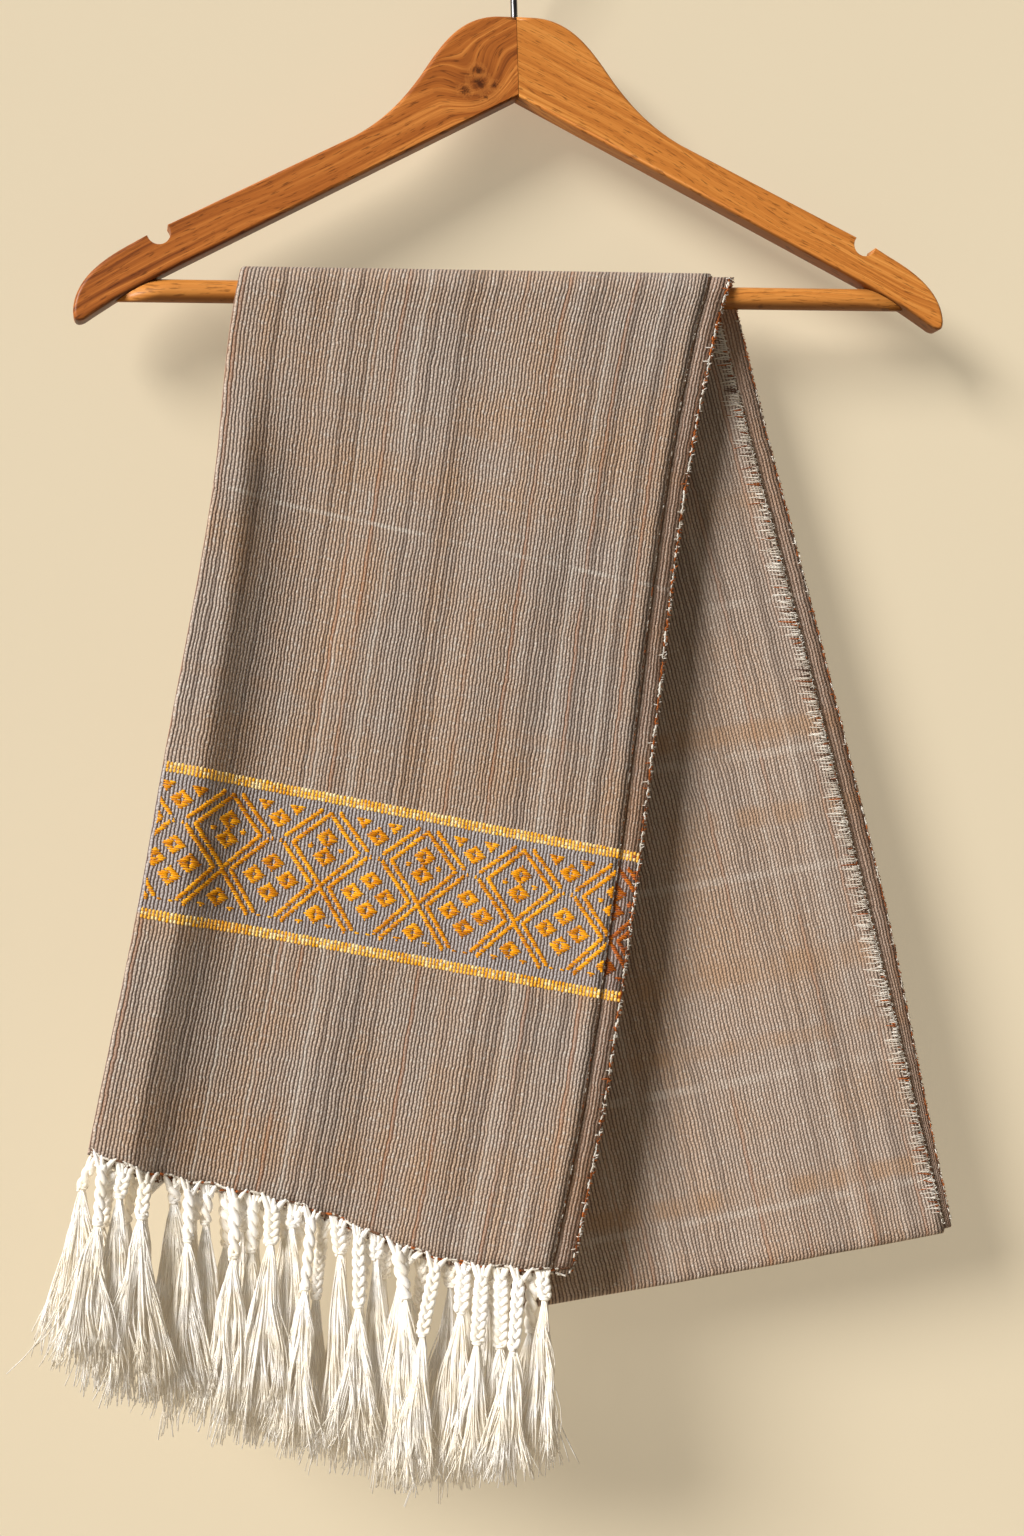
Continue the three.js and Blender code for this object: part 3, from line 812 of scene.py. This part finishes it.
def folded_section():
    """Across, away from the pair's middle (the panel's side positive), and signed map across."""
    bend = PITCH / 2
    panel = bend + (PANEL - bend) * np.linspace(1, 0, 64)[:-1] ** CROWD
    turn = np.linspace(0, pi, 9)
    under = bend + (PANEL + LEDGE - bend) * np.linspace(0, 1, 48)[1:] ** CROWD
    across = np.concatenate([panel, bend - bend * np.sin(turn), under])
    away = np.concatenate([0 * panel + bend, bend * np.cos(turn), 0 * under - bend])
    steps = np.hypot(np.diff(across), np.diff(away))
    return across, away, PANEL - np.concatenate([[0], np.cumsum(steps)])


def cloth_sheet():
    across, away, map_across = folded_section()
    hem_outer = np.where(away > 0, hem_line(OUTER, 1, across), hem_line(OUTER, -1, across))
    hem_inner = np.where(away > 0, hem_line(INNER, -1, across), hem_line(INNER, 1, across))
    bottom = fold_drop(across)
    rows = []
    alongs = []

    def run(radius, drops):
        face = 1 if radius == OUTER else -1
        for drop in drops:
            rows.append(place(radius, across, face * away, drop))
            alongs.append(weave_along(radius, across, drop))

    def down(end, count):
        return mix(QUARTER, end, np.linspace(0, 1, count)[:, None])

    turn = np.linspace(QUARTER, -QUARTER, 17)[1:-1, None] + 0 * across
    run(OUTER, down(hem_outer, 104)[::-1])
    run(OUTER, turn)
    run(OUTER, -down(bottom, 72))
    start = place(OUTER, across, away, -bottom)
    finish = place(INNER, across, -away, -bottom)
    depth = PITCH + away
    for angle in np.linspace(0, pi, 11)[1:-1]:
        row = mix(start, finish, (1 - cos(angle)) / 2)
        row[:, 2] -= depth * sin(angle)
        rows.append(row)
        alongs.append(MIDDLE + 0 * across)
    run(INNER, -down(bottom, 92)[::-1])
    run(INNER, -turn)
    run(INNER, down(hem_inner, 84))

    middle = np.array(rows)
    normal = unit(np.cross(np.gradient(middle, axis=0), np.gradient(middle, axis=1)))
    right = middle + normal * THICK / 2
    wrong = middle - normal * THICK / 2
    high, wide = middle.shape[:2]
    uv = np.stack([np.broadcast_to(map_across, (high, wide)), np.array(alongs)], axis=-1) * MM
    index = np.arange(high * wide).reshape(high, wide)
    a = index[:-1, :-1].ravel()
    front_faces = np.stack([a, a + wide, a + wide + 1, a + 1], axis=1)
    back_faces = front_faces[:, ::-1] + high * wide
    edge = np.concatenate([index[0], index[1:, -1], index[-1, -2::-1], index[-2:0:-1, 0]])
    after = np.roll(edge, -1)
    rim = np.stack([after, after + high * wide, edge + high * wide, edge], axis=1)
    faces = np.concatenate([front_faces, back_faces, rim])
    slots = np.repeat([0, 1, 0], [len(front_faces), len(back_faces), len(rim)])
    points = np.concatenate([right.reshape(-1, 3), wrong.reshape(-1, 3)])
    both_uv = np.concatenate([uv.reshape(-1, 2)] * 2)
    sides = [cloth_right, cloth_wrong]
    return make_mesh("stole_cloth", points, faces.tolist(), sides, slots=slots, uv=both_uv)


# ---------------------------------------------------------------- brocade band

REPEAT = 50.0
FIRST_DIAMOND = 36.5  # across, from the long fold to the first diamond's middle
LINE = 1.15  # half the width of a drawn line
FLOAT_PITCH = 1.0  # pick to pick of the gold weft
FLOAT_LONG = 4.2  # longest float, and the gap between two
FLOAT_GAP = 0.1
FLOAT_THICK = 0.6
MARGIN = 5.0  # plain ground inside each stripe
BEAD_THICK = 0.82
STRIPE_ROWS = (-1.55, 0.0, 1.55)
SUNK = 0.1  # how far the gold yarn is sunk into the cloth's face

# lines of one half repeat: across from the diamond's middle, and down from the upper stripe
LINES = [
    ((0, 7.5), (16.6, 24.2)),
    ((16.6, 24.2), (0, 42.7)),
    ((5, 6.7), (20.7, 21.7)),
    ((20.7, 26.0), (4.5, 42.9)),
    ((4.5, 42.9), (19.3, 60.7)),
    ((0, 43.6), (15.8, 62.0)),
]
PETAL = (6.2, 4.9)  # a flower's reach across and down, its square middle, and the hole in it
HEART = (3.1, 2.7)
EYE = 0.75
FLOWERS = [(0, 19.6), (0, 28.7), (25, 35.7), (16.5, 43.1), (25, 50.4), (25, 14.2), (0, 56.7)]
# across, down, half width, half height
MARKS = [
    (7.75, 24.3, 2.2, 1.6),
    (7.5, 61.2, 2.3, 1.1),
    (22.8, 24.7, 1.2, 1.2),
    (22.2, 62.0, 1.3, 1.1),
]
WEDGE = (17.0, 6.8, 4.2, 4.2)  # across, top, half width, height


def gold_mask(u, v):
    found = np.zeros(u.shape, bool)
    for (u0, v0), (u1, v1) in LINES:
        du, dv = u1 - u0, v1 - v0
        t = np.clip(((u - u0) * du + (v - v0) * dv) / (du * du + dv * dv), 0, 1)
        found |= np.hypot(u - u0 - t * du, v - v0 - t * dv) < LINE
    for fu, fv in FLOWERS:
        du, dv = np.abs(u - fu), np.abs(v - fv)
        star = (du / PETAL[0] + dv / PETAL[1] < 1) | ((du < HEART[0]) & (dv < HEART[1]))
        found |= star & (np.hypot(du, dv) > EYE)
    for mu, mv, wide, tall in MARKS:
        found |= np.abs(u - mu) / wide + np.abs(v - mv) / tall < 1
    wedge_u, wedge_v, wide, tall = WEDGE
    down = (v - wedge_v) / tall
    return found | ((down >= 0) & (down <= 1) & (np.abs(u - wedge_u) < wide * (1 - 0.8 * down)))


def surface(radius, side, across, along, reverse=False):
    """Point and outward normal on one face of a front layer."""
    away = side * PITCH / 2
    drop = along + FRONT_SLOPE * across
    here = place(radius, across, away, drop)
    down = place(radius, across, away, drop + 0.5) - here
    over = place(radius, across + 0.5, away, drop + 0.5 * FRONT_SLOPE) - here
    normal = unit(np.cross(down, over))
    facing_viewer = (side > 0) != reverse
    flip = np.where((normal[..., 1] < 0) == facing_viewer, 1.0, -1.0)
    return here, normal * flip[..., None]


def floats_of(mask, across):
    """Starts and ends of the floats that fill the stretches where a mask holds."""
    padded_mask = np.concatenate([[False], mask, [False]]).astype(int)
    edges = np.flatnonzero(np.diff(padded_mask))
    found = []
    for a, b in zip(edges[::2], edges[1::2]):
        start, end = across[a], across[min(b, len(across) - 1)]
        if end - start < 0.6:
            continue
        parts = max(1, round((end - start) / FLOAT_LONG))
        cuts = np.linspace(start, end, parts + 1)
        found += [(p + FLOAT_GAP / 2, q - FLOAT_GAP / 2) for p, q in zip(cuts, cuts[1:])]
    return found


def brocade(name, radius, side, low, high, seed, reverse=False):
    """The band on one face of a layer, between two places across: motifs and two stripes."""
    rng = np.random.default_rng(seed)
    tubes = Tubes()

    def lay(across, along, radii, slot, squash):
        here, normal = surface(radius, side, across, along, reverse)
        tubes.add(here + normal * (THICK / 2 - SUNK), radii, 4, slot=slot, squash=squash)

    # one row of floats for each pick, each float with a shade of its own
    across = np.arange(low, high, 0.2)
    u = np.abs((across - FIRST_DIAMOND + REPEAT / 2) % REPEAT - REPEAT / 2)
    rows = []
    for v in np.arange(MARGIN, BAND_TALL - MARGIN, FLOAT_PITCH):
        shaky = v + 0.12 * rng.standard_normal() + 0 * u
        rows += [(a, b, v) for a, b in floats_of(gold_mask(u, shaky), across)]
    if rows:
        starts, ends, downs = np.array(rows).T
        slant = np.where(rng.random(len(rows)) < 0.5, 0.16, -0.16) * np.linspace(-1, 1, 4)[:, None]
        alongs = BAND_START + downs + slant + 0.08 * rng.standard_normal(len(starts))
        spread = mix(starts[:, None], ends[:, None], np.array([[0, 0.2, 0.8, 1]]))
        shade = np.where(rng.random(len(starts)) < 0.62, 0, 3)
        lay(spread, alongs.T, FLOAT_THICK * np.array([[0.5, 1, 1, 0.5]]), shade, 1.5)

    # the stripes: warp by warp, three short upright beads of gold or cream
    for stripe in (0.0, BAND_TALL):
        for row in STRIPE_ROWS:
            centres = np.arange(low + 0.9, high - 0.4, WARP / MM)
            drift = stripe + row + rng.normal(0, 0.1, len(centres))
            reach = rng.uniform(0.85, 1.1, len(centres))
            alongs = BAND_START + drift[:, None] + reach[:, None] * np.linspace(-1, 1, 5)[None]
            tint = rng.choice([1, 2, 0], size=len(centres), p=[0.26, 0.6, 0.14])
            shape = BEAD_THICK * np.array([[0.5, 0.95, 1, 0.95, 0.5]])
            lay(centres[:, None], alongs, shape, tint, 0.8)
    threads = (rust_gold_yarn, orange_yarn) if reverse else (gold_yarn, amber_yarn)
    return tubes.mesh(name, [threads[0], bead_yarn, pale_gold_yarn, threads[1]])


# ---------------------------------------------------------------- selvedges and hem


def is_panel(radius, side):
    return side == (1 if radius == OUTER else -1)


def edge_points(radius, side, across, drop):
    """Point, the way out past the selvedge, the way down, and the normal of the face that shows."""
    here = place(radius, across, side * PITCH / 2, drop)
    out = unit(place(radius, across + 2, side * PITCH / 2, drop) - here)
    down = unit(place(radius, across, side * PITCH / 2, drop + 1) - here)
    normal = unit(np.cross(out, down))
    outwards = side if is_panel(radius, side) else -side
    shows = outwards * np.where(np.broadcast_to(drop, normal.shape[:-1]) < 0, 1, -1)
    return here, out, down, normal * np.where(normal[..., 1] * shows < 0, -1.0, 1.0)[..., None]


# on the panel and on the ledge, in front and at the back: thickness of the edge cord, length of the
# loops past it, shares of white and of brown yarn, and spacing and reach of the ends laid back in
EDGES = {
    (True, FRONT): (0.42, 0.7, 0.34, 0.5, 0, 0),
    (False, FRONT): (0.8, 2.4, 0.52, 0.1, 7.0, 4.0),
    (True, BACK): (0.6, 1.9, 0.82, 0.07, 0.95, 12.0),
    (False, BACK): (0.65, 1.4, 0.4, 0.24, 9.0, 3.0),
}
STRETCH = 2.0  # length of one colour along the edge cord
LOOP_PITCH = 0.85


def one_of_three(rng, count, first, second):
    """Random slots 0, 1 and 2, with the shares of the first two given."""
    pick = rng.random(count)
    return np.where(pick < first, 0, np.where(pick < first + second, 1, 2))


def selvedge(tubes, rng, radius, side, leaf):
    cord, loop, white, brown, spacing, inward = EDGES[is_panel(radius, side), leaf]
    edge = PANEL if is_panel(radius, side) else PANEL + LEDGE
    if leaf == FRONT:
        low, high = 0.0, hem_line(radius, side, np.array([edge]))[0] - 1
    else:
        low, high = 3 - fold_drop(np.array([edge]))[0], 0.0

    # the edge itself, a cord in short stretches of one colour
    starts = np.arange(low, high - 1.2 * STRETCH, STRETCH)
    drops = starts[:, None] + np.linspace(0, 1.25 * STRETCH, 3)[None]
    here, out, down, normal = edge_points(radius, side, np.full(drops.shape, edge), drops)
    sway = rng.normal(0, 0.25, drops.shape)[..., None]
    thick = rng.uniform(0.75, 1.15, len(starts))[:, None] * cord
    colours = one_of_three(rng, len(starts), white, brown)
    tubes.add(here + out * sway, thick, 4, slot=colours)

    # loops and ends of weft that stand out past it
    drops = np.arange(low, high, LOOP_PITCH)
    drops = drops + rng.normal(0, 0.3, len(drops))
    count = len(drops)
    here, out, down, normal = edge_points(radius, side, np.full(count, edge), drops)
    length = loop * rng.uniform(0.25, 1.0, count)
    tilt = rng.normal(0, 0.4, count) * length
    puff = rng.normal(0, 0.3, count)
    length, tilt, puff = (value[:, None, None] for value in (length, tilt, puff))
    here, out, down, normal = (value[:, None] for value in (here, out, down, normal))
    reach = np.array([-1.5, 0.0, 0.55, 1.0])[None, :, None]
    curl = np.array([0.0, 0.1, 0.5, 1.0])[None, :, None]
    paths = here + out * np.where(reach < 0, reach, reach * length)
    paths = paths + down * tilt * curl + normal * puff * curl
    thick = rng.uniform(0.28, 0.45, count)[:, None] * np.array([1, 1, 0.9, 0.6])
    tubes.add(paths, thick, 3, slot=one_of_three(rng, count, white, brown))

    # ends of weft laid back into the cloth, on the side that shows
    if not spacing:
        return
    drops = np.arange(low + 6, high - 6, spacing)
    drops = drops + rng.normal(0, 0.2 * spacing, len(drops))
    count = len(drops)
    reach = (0.2 + 0.8 * rng.random(count) ** 1.5) * inward
    t = np.linspace(0, 1, 5)[None]
    across = edge + 0.3 - t * reach[:, None]
    drift = rng.normal(0, 0.12, count)[:, None] * t * reach[:, None]
    here, out, down, normal = edge_points(radius, side, across, drops[:, None] + drift)
    lift = (THICK / 2) * np.array([0.9, 1.1, 1.1, 1.0, 0.5])[None, :, None]
    thick = rng.uniform(0.3, 0.5, count)[:, None] * np.array([1, 1, 0.9, 0.7, 0.3])
    colours = one_of_three(rng, count, white, brown)
    tubes.add(here + normal * lift, thick, 3, slot=colours, squash=0.8)


def selvedges():
    rng = np.random.default_rng(11)
    tubes = Tubes()
    for radius, side in PHASE:
        for leaf in (FRONT, BACK):
            selvedge(tubes, rng, radius, side, leaf)
    return tubes.mesh("selvedge_yarns", [white_yarn, brown_yarn, orange_yarn])


def hem_edges():
    """The last wefts at each fringed end: a speckled, uneven edge that dips at every tassel."""
    rng = np.random.default_rng(5)
    tubes = Tubes()
    for radius, side in PHASE:
        reach = PANEL if is_panel(radius, side) else PANEL + LEDGE
        starts = np.arange(1.0, reach - 2, 1.7)
        across = starts[:, None] + np.linspace(0, 2.2, 4)[None]
        for offset, thick in ((0.5, 0.72), (-0.5, 0.4)):
            drop = hem_line(radius, side, across) + offset + rng.normal(0, 0.22, across.shape)
            path = place(radius, across, side * PITCH / 2, drop)
            size = rng.uniform(0.75, 1.25, len(starts))[:, None] * thick
            tubes.add(path, size, 4, slot=one_of_three(rng, len(starts), 0.6, 0.26))
    return tubes.mesh("hem_edges", [white_yarn, brown_yarn, orange_yarn])


# ---------------------------------------------------------------- fringe

# name, radius and side of the layer, how far the tassels swing forward, threads in each brush
FRINGES = [
    ("fringe_front", OUTER, 1, 5.2, 170),
    ("fringe_second", OUTER, -1, 1.7, 100),
    ("fringe_third", INNER, 1, -1.7, 72),
    ("fringe_rear", INNER, -1, -5.2, 130),
]

LONG = 95.0  # a tassel's length at the ends of the row, and how much more it is in the middle
LONG_MORE = 20.0
SHORT_NECK = (8, 18)
LONG_NECK = (20, 40)
ROOTS_WIDE = 5.5  # how far to each side of a tassel its roots start
TWO_PLY = (1.55, 1.3, 1.8)  # how far each ply swings sideways and forward, and its radius
THREE_PLY = (2.3, 1.0, 1.5)
LOCKS = 11
BRUSH = (9.0, 15.0)  # half the width that a brush opens to


def tassel(tubes, rng, radius, side, across, swing, threads):
    """One tassel: gathered roots, a twisted or plaited neck, a knot and a loose brush."""
    root = place(radius, across, side * PITCH / 2, hem_line(radius, side, np.array(across)))
    share = across / PANEL
    lean = mix(0.1, 0.05, share) + rng.normal(0, 0.03)
    length = LONG + LONG_MORE * sin(pi * min(share, 1)) + rng.uniform(-3, 7)
    neck = rng.uniform(*(SHORT_NECK if swing < 5 and rng.random() < 0.6 else LONG_NECK))
    aside = rng.normal(0, 2.0)  # how far the neck's end hangs off the plumb line
    fat = rng.uniform(0.92, 1.2)

    def spot(down, dx, dy):
        down, dx, dy = np.broadcast_arrays(down, dx, dy)
        off = aside * smooth(down / neck)
        return np.stack([
            root[0] - lean * down + off + dx,
            root[1] - swing * smooth(down / 32) + dy,
            root[2] - down,
        ], axis=-1)

    # roots: a few bundles of warp ends that run along the hem and turn down into the neck
    count = rng.integers(3, 6)
    starts = across + np.linspace(-ROOTS_WIDE, ROOTS_WIDE, count) + rng.normal(0, 0.9, count)
    starts = np.clip(starts, 1.5, PANEL - 1.0 if is_panel(radius, side) else PANEL + LEDGE - 2)
    from_hem = place(radius, starts, side * PITCH / 2, hem_line(radius, side, starts) - 0.4)[:, None]
    into = spot(rng.uniform(5.5, 8.5, count), 0.9 * np.linspace(-1, 1, count), 0.0)[:, None]
    t = np.linspace(0, 1, 10)[None, :, None]
    paths = mix(from_hem, into, np.concatenate([t, t, t ** 1.25], axis=2))
    thick = fat * rng.uniform(1.15, 1.5, count)[:, None]
    tubes.add(paths, thick * mix(0.5, 1.0, smooth(t[..., 0] * 1.6)), 8)

    # neck
    plies = 3 if rng.random() < 0.25 + 0.45 * share else 2
    t = np.linspace(0, 1, 26)[None]
    turns = neck / rng.uniform(13, 17)
    phase = rng.uniform(0, tau)
    which = np.arange(plies)[:, None] * tau / plies
    angle = phase + tau * turns * t + which
    close = smooth(t * 5)
    aside_by, forward_by, thick = TWO_PLY if plies == 2 else THREE_PLY
    if plies == 2:
        dx, dy = aside_by * np.cos(angle), forward_by * np.sin(angle)
    else:
        dx, dy = aside_by * np.sin(angle), forward_by * np.sin(2 * angle)
    down = mix(4.0, neck, t)
    taper = mix(1.0, 0.84, t)
    tubes.add(spot(down, fat * dx * mix(0.5, 1.0, close), fat * dy), fat * thick * taper, 8)

    # knot: two turns of yarn round the neck's end
    t = np.linspace(0, 1, 22)[None]
    angle = tau * 1.9 * t + phase
    tubes.add(spot(neck + mix(-1.2, 1.2, t), 2.1 * np.cos(angle), 1.9 * np.sin(angle)), 0.8, 6)

    # brush: locks of fine threads that wave, part and splay at their ends
    own = np.arange(threads) % LOCKS
    place_x = (np.linspace(-1, 1, LOCKS) + rng.normal(0, 0.14, LOCKS))[own, None]

    def of_lock(low, high):
        return rng.uniform(low, high, LOCKS)[own, None]

    place_y = of_lock(-1, 1)
    wave_size = of_lock(0.4, 2.0)
    wave_turns = of_lock(0.6, 1.5)
    wave_phase = of_lock(0, tau)
    lock_reach = of_lock(0.8, 1.03)
    twist = of_lock(0.3, 1.1) * tau
    t = np.linspace(0, 1, 11)[None]
    open_out = t ** 0.85
    spread = rng.uniform(*BRUSH)
    wave = wave_size * np.sin(tau * wave_turns * t + wave_phase) * smooth(t * 2.4)
    turn = rng.uniform(0, tau, threads)[:, None] + twist * t
    girth = rng.uniform(0.3, 1.35, threads)[:, None] * mix(1.0, 1.3, t)
    fray = rng.normal(0, 1.0, threads)[:, None] * 2.2 * t ** 6
    stray = (rng.random(threads) < 0.12)[:, None] * rng.normal(0, 6, threads)[:, None] * t ** 2
    dx = place_x * spread * open_out + wave + girth * np.cos(turn) + fray + stray
    dy = place_y * 2.4 * open_out + girth * np.sin(turn)
    down = neck + 0.5 + rng.uniform(0.92, 1.05, threads)[:, None] * lock_reach * (length - neck) * t
    thick = rng.uniform(0.34, 0.5, threads)[:, None] * mix(1.1, 0.75, t)
    tubes.add(spot(down, dx, dy), thick, 3)


def fringe(name, radius, side, swing, threads, seed):
    rng = np.random.default_rng(seed)
    tubes = Tubes()
    for k in range(TASSELS):
        across = (k + PHASE[radius, side]) * PANEL / TASSELS + rng.normal(0, 1.2)
        tassel(tubes, rng, radius, side, across, swing, threads)
    return tubes.mesh(name + "_tassels", [tassel_yarn])


# ---------------------------------------------------------------- the object

left = arm("arm_left", True, wood_left)
right = arm("arm_right", False, wood_right)
rod = bar()
wire = hook()
cloth = cloth_sheet()
bands = [
    brocade("band_front", OUTER, 1, 1.2, PANEL, 1),
    brocade("band_under", OUTER, -1, PANEL - 12, PANEL + LEDGE, 2, reverse=True),
    brocade("band_rear", INNER, -1, 1.2, PANEL, 3),
    brocade("band_rear_under", INNER, 1, PANEL - 12, PANEL + LEDGE, 4, reverse=True),
]
tufts = selvedges()
hems = hem_edges()
fringes = [fringe(*row, seed=20 + i) for i, row in enumerate(FRINGES)]

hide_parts("hanger_arm_left")
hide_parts("hanger_arm_right")
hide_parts("trouser_bar")
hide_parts("hook")
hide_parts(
    "bar_turn_outer", "bar_turn_inner", "front_leaf_outer", "front_leaf_inner",
    "back_leaf_outer", "back_leaf_inner", "bottom_fold",
)
for piece, row in zip(fringes, FRINGES):
    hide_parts(row[0])

for piece in (left, right, rod, wire, cloth, tufts, hems, *bands, *fringes):
    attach(piece, "root")

# ---------------------------------------------------------------- stage, light and camera

FLOOR_Z = -1.25
WALL_TOP = 1.5
WALL_Y = 0.0185  # how far behind the hook the wall stands
WALL_LEAN = 0.085  # how far back the wall leans for each metre down
SIDE = 4.0  # how far the wall and the floor reach to each side
FLOOR_DEEP = 5.0


def wall_corner(x, z):
    return (x, WALL_Y - WALL_LEAN * z, z)


def plane(name, corners, material):
    me = bpy.data.meshes.new(name)
    me.from_pydata(corners, [], [(0, 1, 2, 3)])
    me.materials.append(material)
    add_object(name, me)


low_corners = [wall_corner(-SIDE, FLOOR_Z), wall_corner(SIDE, FLOOR_Z)]
high_corners = [wall_corner(SIDE, WALL_TOP), wall_corner(-SIDE, WALL_TOP)]
plane("wall", low_corners + high_corners, wall_material())
corners = [(x * SIDE, y * FLOOR_DEEP, FLOOR_Z) for x, y in ((-1, -1), (1, -1), (1, 1), (-1, 1))]
plane("floor", corners, floor_material())

KEY_FROM = Vector((-0.6885, -0.578, 0.438))
key_data = bpy.data.lights.new("key", "SUN")
key_data.energy = 4.5
key_data.angle = 0.4
key_data.color = (1.0, 0.985, 0.96)
key = add_object("key", key_data)
key.rotation_euler = KEY_FROM.to_track_quat("Z", "Y").to_euler()

FILL_BELOW = 0.045  # strength of the light from all round, from low down and from above
FILL_ABOVE = 0.185
WINDOW_SIDE = 1.2  # share of it that comes from the window's side on the left, and from the right
DARK_SIDE = 0.45
SURROUND = 0.6  # strength at which the camera sees the surroundings directly, a plain pale grey

world = bpy.data.worlds.new("studio")
world.use_nodes = True
sky = Nodes(world.node_tree)
aside, _, above = sky.split(sky.coords("Generated"))
level = sky.value("MapRange", above, -0.6, 0.5, FILL_BELOW, FILL_ABOVE)
fill = level * sky.value("MapRange", aside, -0.6, 0.7, WINDOW_SIDE, DARK_SIDE)
direct = sky.value("LightPath", output="Is Camera Ray")
seen = sky.node("Mix", direct)
sky.fill(seen, A=fill, B=SURROUND)
glow = sky.tree.nodes["Background"]
sky.fill(glow, Color=(1.0, 0.945, 0.87, 1), Strength=Value(sky, seen.outputs["Result"]))
bpy.context.scene.world = world
bpy.context.scene.view_settings.view_transform = "Standard"

CAMERA_AT = Vector((-0.2114, -1.0755, -0.4589))
CAMERA_YAW = radians(10.5)
CAMERA_ROLL = radians(1.6)

camera_data = bpy.data.cameras.new("camera")
camera_data.sensor_fit = "VERTICAL"
camera_data.sensor_height = 36
camera_data.lens = 50
camera = add_object("camera", camera_data)
level_turn = Matrix.Rotation(-CAMERA_YAW, 4, "Z") @ Matrix.Rotation(pi / 2, 4, "X")
camera.matrix_world = (
    Matrix.Translation(CAMERA_AT) @ level_turn @ Matrix.Rotation(-CAMERA_ROLL, 4, "Z")
)
bpy.context.scene.camera = camera
